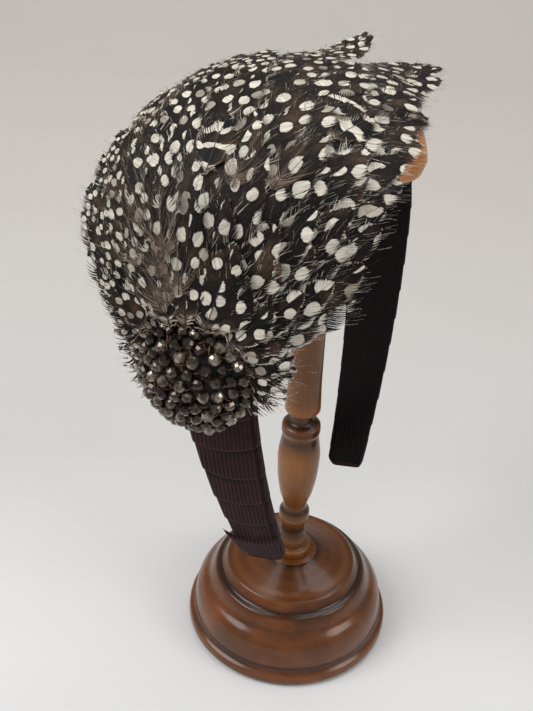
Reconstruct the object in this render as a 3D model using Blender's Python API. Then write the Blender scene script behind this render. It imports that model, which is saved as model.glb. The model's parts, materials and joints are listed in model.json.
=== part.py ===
"""Guinea fowl feather headband resting on its small turned wooden stand.

Sizes are in millimetres and become metres when a mesh is made. The origin is
the centre of the stand's underside and +Z runs up the column. The headband's
plane is close to YZ: its beaded leg hangs towards -Y.
"""
import math

import bmesh
import bpy
import numpy as np

# Stand: (radius, height) down the turned profile, as read from the photograph.
BASE_PROFILE = [
    (33.6, 0.0), (34.5, 1.2), (34.3, 3.2), (32.8, 4.6), (32.4, 6.2), (32.3, 7.8),
    (31.6, 12.2), (30.0, 15.3), (27.6, 17.6), (26.0, 20.8), (25.1, 22.0), (23.6, 22.5),
    (22.4, 24.2), (21.2, 25.8), (19.2, 26.0), (14.4, 27.5), (8.6, 29.7),
]
COLUMN_PROFILE = [
    (6.0, 30.0), (6.2, 32.4), (4.9, 33.4), (4.7, 35.8), (3.7, 39.5), (4.1, 43.4),
    (5.0, 45.0), (5.0, 47.4), (3.8, 49.8), (5.4, 56.6), (6.5, 64.5), (6.75, 71.6),
    (5.8, 80.3), (6.15, 81.7), (6.0, 83.8), (3.5, 85.4), (3.4, 88.6), (5.6, 90.0),
    (5.2, 100.0), (5.0, 118.6), (5.0, 170.6),
]
BASE_SEGMENTS = 28
COLUMN_SEGMENTS = 16
HEAD_HALF_LENGTH = 27.3
HEAD_HALF_DEPTH = 12.0
HEAD_BOTTOM = 171.0
HEAD_TURN = 0.25
HEAD_PLAN = (3.0, 2.6)
HEAD_CROWN = 0.42
HEAD_EASING = 0.93
HEAD_SEGMENTS = 26
HEAD_RINGS = (1.0, 0.985, 0.93, 0.82, 0.66, 0.45, 0.22)

# Headband: a sprung U, in its own plane, hung tilted on the head of the stand.
BAND_HALF_WIDTH = 72.8
BAND_RISE = 34.4
BAND_LEG = 81.8
BAND_TIP = 35.6
BAND_ROUNDNESS = 2.15
BAND_TILT = 0.166
BAND_ROLL = -0.345
BAND_CENTRE = (0.91, -9.41, 162.6)
BAND_WIDTH = 21.7
BAND_TIP_WIDTH = 11.0
BAND_THICKNESS = 3.0
LEG_TAPER = 88.0
TIP_ROUNDING = 1.6
TIP_ROUNDING_LENGTH = 2.0
WRAP_PITCH = 9.2
WRAP_STEP = 0.35
# The turns of ribbon show up to here on the beaded leg, and again from here on the plain one.
WRAPS_END = 52.0
WRAPS_BEGIN = 186.0
CROWN_PITCH = 4.5
# The folded ribbon ends: start and end from the leg's tip, and how far one corner stands out.
BEADED_LEG_FOLD = (2.2, 12.4, 2.2)
PLAIN_LEG_FOLD = (2.2, 9.8, 0.0)
FOLD_THICKNESS = 0.7
SURFACE_OFFSET = 3.0
CROSS_RADIUS = 65.0

# Feather pad: distances t along the band from the beaded tip, v across it.
PAD_CENTRE = (118.0, -4.2)
PAD_RADII = (68.0, 34.4)
PAD_EGG = 0.19
# On its left the pad narrows: breadth half way, how far it falls, where, and over what length.
PAD_LEFT = (0.855, 0.125, 0.03, 0.15)
LINING_SHRINK = 0.80
LINING_SHIFT = 5.0
LINING_LOW = 1.85
LINING_HIGH = 2.85
BEAD_CENTRE = (65.0, 3.0)
FEATHER_ROWS = [
    ("outer_feather", 1.00, 15), ("second_row_feather", 0.82, 13),
    ("third_row_feather", 0.64, 10), ("fourth_row_feather", 0.48, 8),
    ("beadside_feather", 0.34, 6),
]
FEATHER_REACH = 0.37
FEATHER_START = 13.8
FEATHER_BASE = 3.4
FEATHER_PITCH = 1.0
FEATHER_THICKNESS = 0.28
SHAFT_RIDGE = 0.08
# Two feathers stand out past the rest: (angle in degrees, extra length, lift, turn in degrees).
LONG_TIPS = ((-5.0, 10.0, 6.5, -0.5), (-12.5, 21.0, 4.0, 0.5))
LONG_TIP_SLIMMING = 0.68
# Short feathers beside the beads: (angle in degrees, distance of the tip, level).
EDGE_FEATHERS = ((-80.0, 23.0, 1), (-101.0, 20.5, 0), (63.0, 20.5, 1))
EDGE_FEATHER_WIDTH = 8.5
# A blade's half width at shares of its length, and how much of the room between
# its second neighbours it may fill.
BLADE_SHARES = (0.0, 0.22, 0.45, 0.67, 0.86, 1.0)
BLADE_HALVES = (0.10, 0.66, 0.93, 1.0, 0.76, 0.24)
BLADE_WIDEST = 23.0
BLADE_SHORTEST = 6.5
BLADE_ROOM = 0.86

# Bead cluster: beads in rings over a low dome, a slice of a sphere.
BEAD_RADIUS = 1.41
BEAD_PITCH = 2.8
BEAD_RINGS = 5
BEAD_LIFT = 0.8
DOME_SPHERE = 16.7
DOME_EDGE = 0.742
DOME_RIM = 1.0
DOME_FLOOR = 3.2
DOME_SEGMENTS = 16
GAP = 0.3


def clear_scene():
    """Removes whatever the file opened with."""
    for old in list(bpy.data.objects):
        bpy.data.objects.remove(old, do_unlink=True)


def material(name, colour, roughness, metallic=0.0):
    """One Principled material for one piece."""
    made = bpy.data.materials.new(name)
    made.use_nodes = True
    shader = made.node_tree.nodes["Principled BSDF"]
    shader.inputs["Base Color"].default_value = (*colour, 1.0)
    shader.inputs["Roughness"].default_value = roughness
    shader.inputs["Metallic"].default_value = metallic
    return made


def solid(name, points, faces, colour, roughness, angle=None):
    """Makes one closed mesh from millimetre points."""
    mesh = bpy.data.meshes.new(name)
    mesh.from_pydata([tuple(0.001 * float(c) for c in p) for p in points], [], faces)
    work = bmesh.new()
    work.from_mesh(mesh)
    bmesh.ops.recalc_face_normals(work, faces=work.faces)
    work.to_mesh(mesh)
    work.free()
    made = bpy.data.objects.new(name, mesh)
    bpy.context.scene.collection.objects.link(made)
    mesh.materials.append(material(name, colour, roughness))
    if angle is not None:
        mesh.shade_smooth()
        mesh.set_sharp_from_angle(angle=math.radians(angle))
    return made


def lathe(name, profile, segments, colour):
    """Turns a profile about Z into a closed solid."""
    points = []
    for radius, height in profile:
        for i in range(segments):
            turn = 2.0 * math.pi * i / segments
            points.append((radius * math.cos(turn), radius * math.sin(turn), height))
    faces = []
    for row in range(len(profile) - 1):
        for i in range(segments):
            j = (i + 1) % segments
            low = row * segments
            high = low + segments
            faces.append((low + i, low + j, high + j, high + i))
    last = (len(profile) - 1) * segments
    faces.append(tuple(range(segments)))
    faces.append(tuple(range(last, last + segments)))
    return solid(name, points, faces, colour, 0.35, 35.0)


def unit_vectors():
    """The headband plane's sideways, upward and across directions."""
    across = np.array([-math.cos(BAND_TILT), 0.0, -math.sin(BAND_TILT)])
    lean = np.array([-math.sin(BAND_TILT), 0.0, math.cos(BAND_TILT)])
    side = np.array([0.0, 1.0, 0.0])
    out = math.cos(BAND_ROLL) * side + math.sin(BAND_ROLL) * lean
    rise = -math.sin(BAND_ROLL) * side + math.cos(BAND_ROLL) * lean
    return out, rise, across


SIDE, RISE, ACROSS = unit_vectors()


def band_curve():
    """Arc length, plane position and outward normal along the band."""
    count = 1500
    drop = np.linspace(1.0, 0.0, count, endpoint=False)
    taper = BAND_HALF_WIDTH - BAND_TIP
    near = np.stack([-(BAND_HALF_WIDTH - taper * drop ** 2), -drop * BAND_LEG], -1)
    turn = np.linspace(math.pi, 0.0, count)
    power = 2.0 / BAND_ROUNDNESS
    wide = np.sign(np.cos(turn)) * np.abs(np.cos(turn)) ** power * BAND_HALF_WIDTH
    tall = np.abs(np.sin(turn)) ** power * BAND_RISE
    arc = np.stack([wide, tall], -1)
    drop = np.linspace(0.0, 1.0, count + 1)[1:]
    far = np.stack([BAND_HALF_WIDTH - taper * drop ** 2, -drop * BAND_LEG], -1)
    path = np.concatenate([near, arc, far])
    heading = np.gradient(path, axis=0)
    heading /= np.linalg.norm(heading, axis=1)[:, None]
    normal = np.stack([-heading[:, 1], heading[:, 0]], -1)
    path = path + SURFACE_OFFSET * normal
    steps = np.linalg.norm(np.diff(path, axis=0), axis=1)
    return np.concatenate([[0.0], np.cumsum(steps)]), path, normal


CURVE_T, CURVE_P, CURVE_N = band_curve()
BAND_LENGTH = float(CURVE_T[-1])


def on_band(t, v, h):
    """Point at t along the band, v across it and h outside its middle line."""
    place = [np.interp(t, CURVE_T, CURVE_P[:, i]) for i in (0, 1)]
    facing = [np.interp(t, CURVE_T, CURVE_N[:, i]) for i in (0, 1)]
    foot = np.array(BAND_CENTRE) + place[0] * SIDE + place[1] * RISE
    normal = facing[0] * SIDE + facing[1] * RISE
    normal = normal / np.linalg.norm(normal)
    reach = CROSS_RADIUS + h - SURFACE_OFFSET
    bend = v / CROSS_RADIUS
    return foot + reach * math.sin(bend) * ACROSS + (reach * math.cos(bend) - CROSS_RADIUS) * normal


def band_half(t):
    """Half the band's width at t: it tapers down each leg to a rounded end."""
    end = min(t, BAND_LENGTH - t)
    taper = max(0.0, 1.0 - end / LEG_TAPER)
    half = 0.5 * (BAND_WIDTH + (BAND_TIP_WIDTH - BAND_WIDTH) * taper)
    return half - TIP_ROUNDING * max(0.0, 1.0 - end / TIP_ROUNDING_LENGTH)


def headband():
    """The wrapped band: each turn of ribbon is a shallow step."""
    run = WRAP_PITCH - 0.4
    stations = []
    t = 0.0
    while t < WRAPS_END:
        stations += [(t, WRAP_STEP), (t + run, 0.0)]
        t += WRAP_PITCH
    while t < WRAPS_BEGIN:
        stations.append((t, 0.0))
        t += CROWN_PITCH
    while t < BAND_LENGTH - WRAP_PITCH:
        stations += [(t, 0.0), (t + run, WRAP_STEP)]
        t += WRAP_PITCH
    stations += [(t, 0.0), (BAND_LENGTH, 0.0)]
    points = []
    faces = []
    inn = -0.5 * BAND_THICKNESS
    for t, swell in stations:
        half = band_half(t) + 0.5 * swell
        out = 0.5 * BAND_THICKNESS + swell - WRAP_STEP
        for v, h in ((-half, inn), (half, inn), (half, out), (-half, out)):
            points.append(on_band(t, v, h))
    for row in range(len(stations) - 1):
        for i in range(4):
            j = (i + 1) % 4
            faces.append((4 * row + i, 4 * row + j, 4 * row + 4 + j, 4 * row + 4 + i))
    last = 4 * (len(stations) - 1)
    faces.append((0, 1, 2, 3))
    faces.append((last, last + 1, last + 2, last + 3))
    return solid("ribbon_wrapped_band", points, faces, (0.035, 0.02, 0.024), 0.85)


def plate(name, rows, colour, roughness):
    """A thin curved plate from rows of (t, v, low, high) cells, all of one length."""
    count = len(rows[0])
    points = [on_band(t, v, low) for cells in rows for t, v, low, _ in cells]
    points += [on_band(t, v, high) for cells in rows for t, v, _, high in cells]
    faces = []
    top = count * len(rows)
    for row in range(len(rows) - 1):
        for i in range(count - 1):
            a = row * count + i
            faces.append((a, a + count, a + count + 1, a + 1))
            faces.append((top + a, top + a + 1, top + a + count + 1, top + a + count))
    rim = [row * count for row in range(len(rows))]
    rim += [(len(rows) - 1) * count + i for i in range(1, count)]
    rim += [row * count + count - 1 for row in range(len(rows) - 2, -1, -1)]
    rim += [i for i in range(count - 2, 0, -1)]
    for i, a in enumerate(rim):
        b = rim[(i + 1) % len(rim)]
        faces.append((a, b, top + b, top + a))
    return solid(name, points, faces, colour, roughness)


def ribbon_end(name, t_low, t_high, lean):
    """The cut end of the ribbon, folded over the outside of a leg."""
    low = 0.5 * BAND_THICKNESS + GAP
    high = low + FOLD_THICKNESS
    rows = []
    for share in (0.0, 0.5, 1.0):
        t = t_low + share * (t_high - t_low)
        half = band_half(t) - 0.4
        rows.append([(t, v, low, high) for v in (-half, 0.0, half + lean * share)])
    return plate(name, rows, (0.04, 0.023, 0.028), 0.9)


def swelling(along, left):
    """Breadth of the pad at a share of its length, as a share of its widest."""
    if left:
        middle, fall, place, ease = PAD_LEFT
        return middle - fall * math.tanh((along - place) / ease)
    return max(0.2, 1.0 + PAD_EGG * along)


def lining():
    """The felt oval that the feathers are fixed to."""
    rows = []
    count = 22
    for i in range(count):
        angle = math.pi * (i + 0.35) / (count - 0.3)
        along = -math.cos(angle)
        t = PAD_CENTRE[0] + LINING_SHIFT + along * PAD_RADII[0] * LINING_SHRINK
        half = math.sin(angle) * PAD_RADII[1] * LINING_SHRINK
        rows.append([(t, PAD_CENTRE[1] + share * half * swelling(along, share > 0.0), LINING_LOW, LINING_HIGH)
                     for share in (-1.0, -0.5, 0.0, 0.5, 1.0)])
    return plate("felt_lining", rows, (0.02, 0.018, 0.018), 0.9)


def boundary(angle):
    """Distance from the beads to the egg-shaped outline along an angle."""
    near, far = 0.0, 180.0
    for _ in range(40):
        mid = 0.5 * (near + far)
        along = (BEAD_CENTRE[0] + mid * math.cos(angle) - PAD_CENTRE[0]) / PAD_RADII[0]
        aside = (BEAD_CENTRE[1] + mid * math.sin(angle) - PAD_CENTRE[1]) / PAD_RADII[1]
        if along * along + (aside / swelling(along, aside > 0.0)) ** 2 < 1.0:
            near = mid
        else:
            far = mid
    return near


def rim_angles(count):
    """Angles from the beads to points spaced evenly round the outline."""
    sweep = np.linspace(math.radians(-128.0), math.radians(128.0), 721)
    breadth = np.array([swelling(math.cos(a), a > 0.0) for a in sweep])
    rim = np.stack([
        PAD_CENTRE[0] + PAD_RADII[0] * np.cos(sweep),
        PAD_CENTRE[1] + PAD_RADII[1] * np.sin(sweep) * breadth], -1)
    run = np.concatenate([[0.0], np.cumsum(np.linalg.norm(np.diff(rim, axis=0), axis=1))])
    marks = (np.arange(count) + 0.5) / count * run[-1]
    at = np.stack([np.interp(marks, run, rim[:, i]) for i in (0, 1)], -1)
    return [math.atan2(p[1] - BEAD_CENTRE[1], p[0] - BEAD_CENTRE[0]) for p in at]


def layer_height(angle, distance, level):
    """Height of a feather layer: upper rows dip towards the beads."""
    share = distance / boundary(angle)
    sink = min(1.0, max(0.0, 1.0 - (share - 0.12) / 0.51))
    return FEATHER_BASE + FEATHER_PITCH * (level - 5.1 * sink)


def feather(name, angle, start, end, width, level, lift):
    """One feather: a thin curved blade with a raised shaft."""
    rows = []
    ct, cv = math.cos(angle), math.sin(angle)
    for share, breadth in zip(BLADE_SHARES, BLADE_HALVES):
        distance = start + share * (end - start)
        half = 0.5 * width * breadth
        cells = []
        for across in (-1.0, 0.0, 1.0):
            ridge = SHAFT_RIDGE if across == 0.0 else 0.0
            dt = ct * distance - cv * across * half
            dv = cv * distance + ct * across * half
            true_angle = math.atan2(dv, dt)
            low = layer_height(true_angle, math.hypot(dt, dv), level)
            low += lift * max(0.0, (share - 0.5) / 0.5) ** 2
            cells.append((BEAD_CENTRE[0] + dt, BEAD_CENTRE[1] + dv, low, low + FEATHER_THICKNESS + ridge))
        rows.append(cells)
    return plate(name, rows, (0.05, 0.043, 0.04), 0.6)


def feathers():
    """Five overlapping rows, the outer one laid first."""
    for row, (name, reach, count) in enumerate(FEATHER_ROWS):
        kept = 0
        angles = rim_angles(count)
        for i, angle in enumerate(angles):
            rim = boundary(angle)
            end = reach * rim
            start = max(FEATHER_START, end - FEATHER_REACH * rim)
            if end - start < BLADE_SHORTEST:
                continue
            kept += 1
            extra, lift, aside = 0.0, 0.0, 0.0
            for at, longer, higher, turn in LONG_TIPS:
                if row == 0 and abs(math.degrees(angle) - at) < 3.5:
                    extra, lift, aside = longer, higher, math.radians(turn)
            spread = 200.0 * reach / count
            beside = [abs(angle - angles[j]) for j in (i - 2, i + 2) if 0 <= j < count]
            room = BLADE_ROOM * math.sin(min(1.4, min(beside))) * (start + 0.5 * (end - start))
            width = min(BLADE_WIDEST, 1.45 * spread, 0.72 * (end - start) + 3.0, room)
            level = 2 * row + i % 2
            if extra:
                width *= LONG_TIP_SLIMMING
            feather(f"{name}_{kept:02d}", angle + aside, start, end + extra, width, level, lift)
    for i, (degrees, end, level) in enumerate(EDGE_FEATHERS):
        feather(f"edge_feather_{i + 1:02d}", math.radians(degrees), FEATHER_START, end,
                EDGE_FEATHER_WIDTH, level, 0.0)


def dome_point(polar, turns, lift):
    """Point over the dome: polar angle from its middle, share of a turn, height above it."""
    radius = DOME_SPHERE * math.sin(polar)
    rise = DOME_SPHERE * (math.cos(polar) - math.cos(DOME_EDGE))
    angle = 2.0 * math.pi * turns
    return on_band(BEAD_CENTRE[0] + radius * math.cos(angle), BEAD_CENTRE[1] + radius * math.sin(angle),
                   DOME_FLOOR + DOME_RIM + rise + lift)


def bead_cluster():
    """Round beads sewn over a low dome, fused into one piece."""
    points = [dome_point(DOME_EDGE, i / DOME_SEGMENTS, -DOME_RIM) for i in range(DOME_SEGMENTS)]
    for share in (1.0, 0.66, 0.33):
        points += [dome_point(DOME_EDGE * share, i / DOME_SEGMENTS, 0.0) for i in range(DOME_SEGMENTS)]
    faces = []
    last = len(points) - DOME_SEGMENTS
    for low in range(0, last, DOME_SEGMENTS):
        for i in range(DOME_SEGMENTS):
            j = (i + 1) % DOME_SEGMENTS
            faces.append((low + i, low + j, low + DOME_SEGMENTS + j, low + DOME_SEGMENTS + i))
    low_middle, high_middle = len(points), len(points) + 1
    points.append(on_band(BEAD_CENTRE[0], BEAD_CENTRE[1], DOME_FLOOR))
    points.append(dome_point(0.0, 0.0, 0.0))
    for i in range(DOME_SEGMENTS):
        j = (i + 1) % DOME_SEGMENTS
        faces.append((j, i, low_middle))
        faces.append((last + i, last + j, high_middle))
    dome = solid("glass_bead_cluster", points, faces, (0.16, 0.14, 0.13), 0.2)
    work = bmesh.new()
    for ring in range(BEAD_RINGS):
        polar = (ring + 0.5) * BEAD_PITCH / DOME_SPHERE
        count = round(2.0 * math.pi * DOME_SPHERE * math.sin(polar) / BEAD_PITCH)
        for i in range(count):
            centre = dome_point(polar, (i + 0.5 * (ring % 2)) / count, BEAD_LIFT)
            made = bmesh.ops.create_icosphere(work, subdivisions=1, radius=0.001 * BEAD_RADIUS)
            bmesh.ops.translate(work, verts=made["verts"], vec=tuple(0.001 * centre))
    mesh = bpy.data.meshes.new("beads")
    work.to_mesh(mesh)
    work.free()
    beads = bpy.data.objects.new("beads", mesh)
    bpy.context.scene.collection.objects.link(beads)
    join = dome.modifiers.new("sew_on", "BOOLEAN")
    join.operation = "UNION"
    join.solver = "EXACT"
    join.object = beads
    graph = bpy.context.evaluated_depsgraph_get()
    fused = bpy.data.meshes.new_from_object(dome.evaluated_get(graph))
    dome.modifiers.clear()
    dome.data = fused
    bpy.data.objects.remove(beads, do_unlink=True)
    tidy = bmesh.new()
    tidy.from_mesh(fused)
    bmesh.ops.triangulate(tidy, faces=tidy.faces)
    bmesh.ops.remove_doubles(tidy, verts=tidy.verts, dist=0.00001)
    bmesh.ops.dissolve_degenerate(tidy, edges=tidy.edges, dist=0.00001)
    bmesh.ops.triangulate(tidy, faces=tidy.faces)
    tidy.to_mesh(fused)
    tidy.free()
    return dome


def head_top():
    """Height at which the head's top just clears the inside of the band."""
    heights = []
    for t in np.linspace(120.0, 260.0, 281):
        left = on_band(t, -0.5 * BAND_WIDTH, -0.5 * BAND_THICKNESS)
        right = on_band(t, 0.5 * BAND_WIDTH, -0.5 * BAND_THICKNESS)
        for share in (0.0, 0.25, 0.5, 0.75, 1.0):
            p = left + share * (right - left)
            x = (p[0] * math.cos(HEAD_TURN) + p[1] * math.sin(HEAD_TURN)) / HEAD_HALF_LENGTH
            y = (p[1] * math.cos(HEAD_TURN) - p[0] * math.sin(HEAD_TURN)) / HEAD_HALF_DEPTH
            shape = head_shape(x, y)
            if shape > 0.0:
                heights.append((p[2] - GAP - HEAD_BOTTOM) / shape)
    return min(heights)


def head_shape(x, y):
    """Relative height of the rounded head over its plan, 1 at the middle and 0 outside."""
    return max(0.0, 1.0 - abs(x) ** HEAD_PLAN[0] - abs(y) ** HEAD_PLAN[1]) ** HEAD_CROWN


def stand_head():
    """The rounded block on top of the column that the band hangs over."""
    height = head_top()
    points = []
    faces = []
    for k, ring in enumerate(HEAD_RINGS):
        for i in range(HEAD_SEGMENTS):
            turn = 2.0 * math.pi * i / HEAD_SEGMENTS
            c, s = math.cos(turn), math.sin(turn)
            # The plan is a rounded oblong; repeated scaling finds its edge along this turn.
            size = 1.0
            for _ in range(40):
                size /= (abs(size * c) ** HEAD_PLAN[0] + abs(size * s) ** HEAD_PLAN[1]) ** 0.36
            x = size * c * ring
            y = size * s * ring
            z = HEAD_BOTTOM if k == 0 else HEAD_BOTTOM + height * head_shape(x, y)
            grow = HEAD_EASING if k == 0 else 1.0
            x *= grow * HEAD_HALF_LENGTH
            y *= grow * HEAD_HALF_DEPTH
            points.append((x * math.cos(HEAD_TURN) - y * math.sin(HEAD_TURN),
                           x * math.sin(HEAD_TURN) + y * math.cos(HEAD_TURN), z))
    last = HEAD_SEGMENTS * (len(HEAD_RINGS) - 1)
    for low in range(0, last, HEAD_SEGMENTS):
        for i in range(HEAD_SEGMENTS):
            j = (i + 1) % HEAD_SEGMENTS
            faces.append((low + i, low + j, low + HEAD_SEGMENTS + j, low + HEAD_SEGMENTS + i))
    faces.append(tuple(range(HEAD_SEGMENTS)))
    points.append((0.0, 0.0, HEAD_BOTTOM + height))
    for i in range(HEAD_SEGMENTS):
        faces.append((last + i, last + (i + 1) % HEAD_SEGMENTS, len(points) - 1))
    return solid("stand_head", points, faces, (0.36, 0.15, 0.05), 0.35, 40.0)


clear_scene()
lathe("stand_base", BASE_PROFILE, BASE_SEGMENTS, (0.15, 0.055, 0.02))
lathe("stand_column", COLUMN_PROFILE, COLUMN_SEGMENTS, (0.24, 0.11, 0.04))
stand_head()
headband()
ribbon_end("ribbon_end_beaded_leg", *BEADED_LEG_FOLD)
ribbon_end("ribbon_end_plain_leg", BAND_LENGTH - PLAIN_LEG_FOLD[0], BAND_LENGTH - PLAIN_LEG_FOLD[1],
           PLAIN_LEG_FOLD[2])
lining()
feathers()
bead_cluster()
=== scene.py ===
"""Guinea fowl feather headband on its turned wooden stand, laid out as an add-on.

Lengths are in millimetres inside the functions and become metres when a mesh is
made. A place on the headband is (t, v, h): t along the band from the beaded tip,
v across it, and h outwards from its middle line.
"""
import json
import math

import bmesh
import bpy
import numpy as np
from bpy.props import FloatProperty, FloatVectorProperty, IntProperty, PointerProperty
from mathutils import Matrix, Vector
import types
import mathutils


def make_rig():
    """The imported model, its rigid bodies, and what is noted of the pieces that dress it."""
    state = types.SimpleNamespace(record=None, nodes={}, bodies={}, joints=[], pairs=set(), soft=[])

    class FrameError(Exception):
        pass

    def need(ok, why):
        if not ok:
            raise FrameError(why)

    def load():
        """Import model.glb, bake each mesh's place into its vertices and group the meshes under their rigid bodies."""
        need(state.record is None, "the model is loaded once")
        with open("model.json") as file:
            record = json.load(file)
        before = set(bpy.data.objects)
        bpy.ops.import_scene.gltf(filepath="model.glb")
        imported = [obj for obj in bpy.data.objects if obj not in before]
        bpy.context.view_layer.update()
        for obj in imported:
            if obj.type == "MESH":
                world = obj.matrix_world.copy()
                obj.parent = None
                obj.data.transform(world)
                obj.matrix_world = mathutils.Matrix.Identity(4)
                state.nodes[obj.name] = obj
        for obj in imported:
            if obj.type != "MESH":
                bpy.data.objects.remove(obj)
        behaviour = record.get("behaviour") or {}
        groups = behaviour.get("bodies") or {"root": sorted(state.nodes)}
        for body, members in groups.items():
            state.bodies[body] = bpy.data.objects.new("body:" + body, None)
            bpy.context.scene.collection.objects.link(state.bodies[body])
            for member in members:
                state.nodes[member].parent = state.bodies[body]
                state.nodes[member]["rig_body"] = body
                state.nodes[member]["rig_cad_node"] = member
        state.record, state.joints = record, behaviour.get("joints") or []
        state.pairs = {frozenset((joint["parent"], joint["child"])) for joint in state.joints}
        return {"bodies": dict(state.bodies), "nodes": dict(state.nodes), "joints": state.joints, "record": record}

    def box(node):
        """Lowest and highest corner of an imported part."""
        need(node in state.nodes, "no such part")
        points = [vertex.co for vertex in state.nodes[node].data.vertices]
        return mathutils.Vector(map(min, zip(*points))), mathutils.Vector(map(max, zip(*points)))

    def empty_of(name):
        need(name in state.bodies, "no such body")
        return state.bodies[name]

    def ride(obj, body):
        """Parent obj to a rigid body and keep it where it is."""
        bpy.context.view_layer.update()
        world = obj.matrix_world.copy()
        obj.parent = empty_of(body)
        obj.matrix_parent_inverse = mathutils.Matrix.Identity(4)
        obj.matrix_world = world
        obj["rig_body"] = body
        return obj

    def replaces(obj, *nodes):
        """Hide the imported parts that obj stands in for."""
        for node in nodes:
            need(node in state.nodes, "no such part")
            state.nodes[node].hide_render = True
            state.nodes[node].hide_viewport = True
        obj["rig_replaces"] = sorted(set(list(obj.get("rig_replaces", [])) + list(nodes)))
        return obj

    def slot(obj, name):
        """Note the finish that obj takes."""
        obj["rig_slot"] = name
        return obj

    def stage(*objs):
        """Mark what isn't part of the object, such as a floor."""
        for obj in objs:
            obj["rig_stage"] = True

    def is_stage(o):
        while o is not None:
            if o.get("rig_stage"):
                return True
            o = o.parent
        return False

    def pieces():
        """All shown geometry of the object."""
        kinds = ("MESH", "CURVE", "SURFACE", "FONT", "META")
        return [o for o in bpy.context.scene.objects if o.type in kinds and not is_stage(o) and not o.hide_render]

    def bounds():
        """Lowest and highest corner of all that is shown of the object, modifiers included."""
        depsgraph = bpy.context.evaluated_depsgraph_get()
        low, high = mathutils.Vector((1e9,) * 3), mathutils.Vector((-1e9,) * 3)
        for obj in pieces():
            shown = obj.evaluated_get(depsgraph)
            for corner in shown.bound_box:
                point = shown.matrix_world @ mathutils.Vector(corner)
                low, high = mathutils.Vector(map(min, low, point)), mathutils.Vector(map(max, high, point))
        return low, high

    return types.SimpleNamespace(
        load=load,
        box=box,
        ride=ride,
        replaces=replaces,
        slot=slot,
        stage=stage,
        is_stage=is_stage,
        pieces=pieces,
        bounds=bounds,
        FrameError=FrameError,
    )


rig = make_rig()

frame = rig.load()
CAD_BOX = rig.bounds()

bl_info = {
    "name": "Guinea Fowl Headband",
    "version": (1, 0, 0),
    "blender": (4, 5, 0),
    "location": "3D View > Sidebar > Headband",
    "description": "Builds a feathered headband on its turned stand",
    "category": "Object",
}

MM = 0.001

# The camera that took the picture, in the frame of the model.
CAMERA_PLACE = (63.7, -249.5, 287.75)
CAMERA_YAW = -17.01
CAMERA_PITCH = 34.85
CAMERA_ROLL = 3.19
FOCAL_PIXELS = 1050.0
PICTURE_HEIGHT = 711.0

# Headband, as the solids have it.
BAND_HALF_WIDTH = 72.8
BAND_RISE = 34.4
BAND_LEG = 81.8
BAND_TIP = 35.6
BAND_ROUNDNESS = 2.15
BAND_TILT = 0.166
BAND_ROLL = -0.345
BAND_CENTRE = (0.91, -9.41, 162.6)
BAND_WIDTH = 21.7
BAND_TIP_WIDTH = 11.0
BAND_THICKNESS = 3.0
LEG_TAPER = 88.0
WRAP_PITCH = 9.2
BEADED_LEG_FOLD = (2.2, 12.4, 2.2)
PLAIN_LEG_FOLD = (2.2, 9.8, 0.0)
SURFACE_OFFSET = 3.0
CROSS_RADIUS = 65.0

# Feather pad, as the solids have it.
PAD_CENTRE = (118.0, -4.2)
PAD_RADII = (68.0, 34.4)
PAD_EGG = 0.19
# On its left the pad narrows: breadth half way, how far it falls, where, and over what length.
PAD_LEFT = (0.855, 0.125, 0.03, 0.15)
LINING_SHRINK = 0.80
LINING_SHIFT = 5.0
LINING_LOW = 1.85
LINING_HIGH = 2.85
BEAD_CENTRE = (65.0, 3.0)
FEATHER_ROWS = [
    ("outer_feather", 1.00, 15), ("second_row_feather", 0.82, 13),
    ("third_row_feather", 0.64, 10), ("fourth_row_feather", 0.48, 8),
    ("beadside_feather", 0.34, 6),
]
FEATHER_REACH = 0.37
FEATHER_START = 13.8
FEATHER_BASE = 3.4
FEATHER_PITCH = 0.70
FEATHER_THICKNESS = 0.28
LONG_TIPS = ((-5.0, 10.0, 6.5, -0.5), (-12.5, 21.0, 4.0, 0.5))
SHORTEST_FEATHER = 6.5
WIDEST_FEATHER = 23.0
LONG_TIP_REACH = 3.5
LONG_TIP_WIDTH = 0.68
EDGE_FEATHER_WIDTH = 8.5
EDGE_FEATHERS = ((-80.0, 23.0, 1), (-101.0, 20.5, 0), (63.0, 20.5, 1))

# Ribbon of the scene alone: shares of a turn's width that have a ring, points along the outer face
# of a ring, and how far the turns and the two folded ends bow.
WRAP_STATIONS = (0.0, 0.02, 0.08, 0.14, 0.4, 0.7, 0.86, 0.92, 0.995)
SECTION_POINTS = 24
WRAP_BOW = 2.0
BEADED_LEG_BOW = 2.6
PLAIN_LEG_BOW = -1.0

# Stitches of the scene alone: how many, half their length, their rise and the thread's radius.
STITCHES = 90
STITCH_HALF = 1.5
STITCH_RISE = 1.2
THREAD_RADIUS = (0.10, 0.17)

# Feathers between those of a row, in the scene alone: how near the beads they may start.
COVER_START = 12.6

# Barbs of the drawn vane: it ends a little inside the solid blade, and loose hairs pass it.
VANE_SHORTER = 0.8
VANE_SHARE = 0.97
HAIR_SHARE = 0.30
# Share of a feather's base that is downy, and how much closer and more slanted down barbs lie.
DOWNY_BASE = 0.16
DOWN_CLOSENESS = 0.36
DOWN_SLANT = 2.3
# Fewest and most barbs that cling in one tuft.
CLINGING_BARBS = (6, 24)
SHAFT_RADIUS = 0.12
SHAFT_RINGS = 12
# Where on the endless dot pattern a feather starts, in its own millimetres.
PATTERN_STEP = 61.3
PATTERN_PLACES = 97

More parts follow.
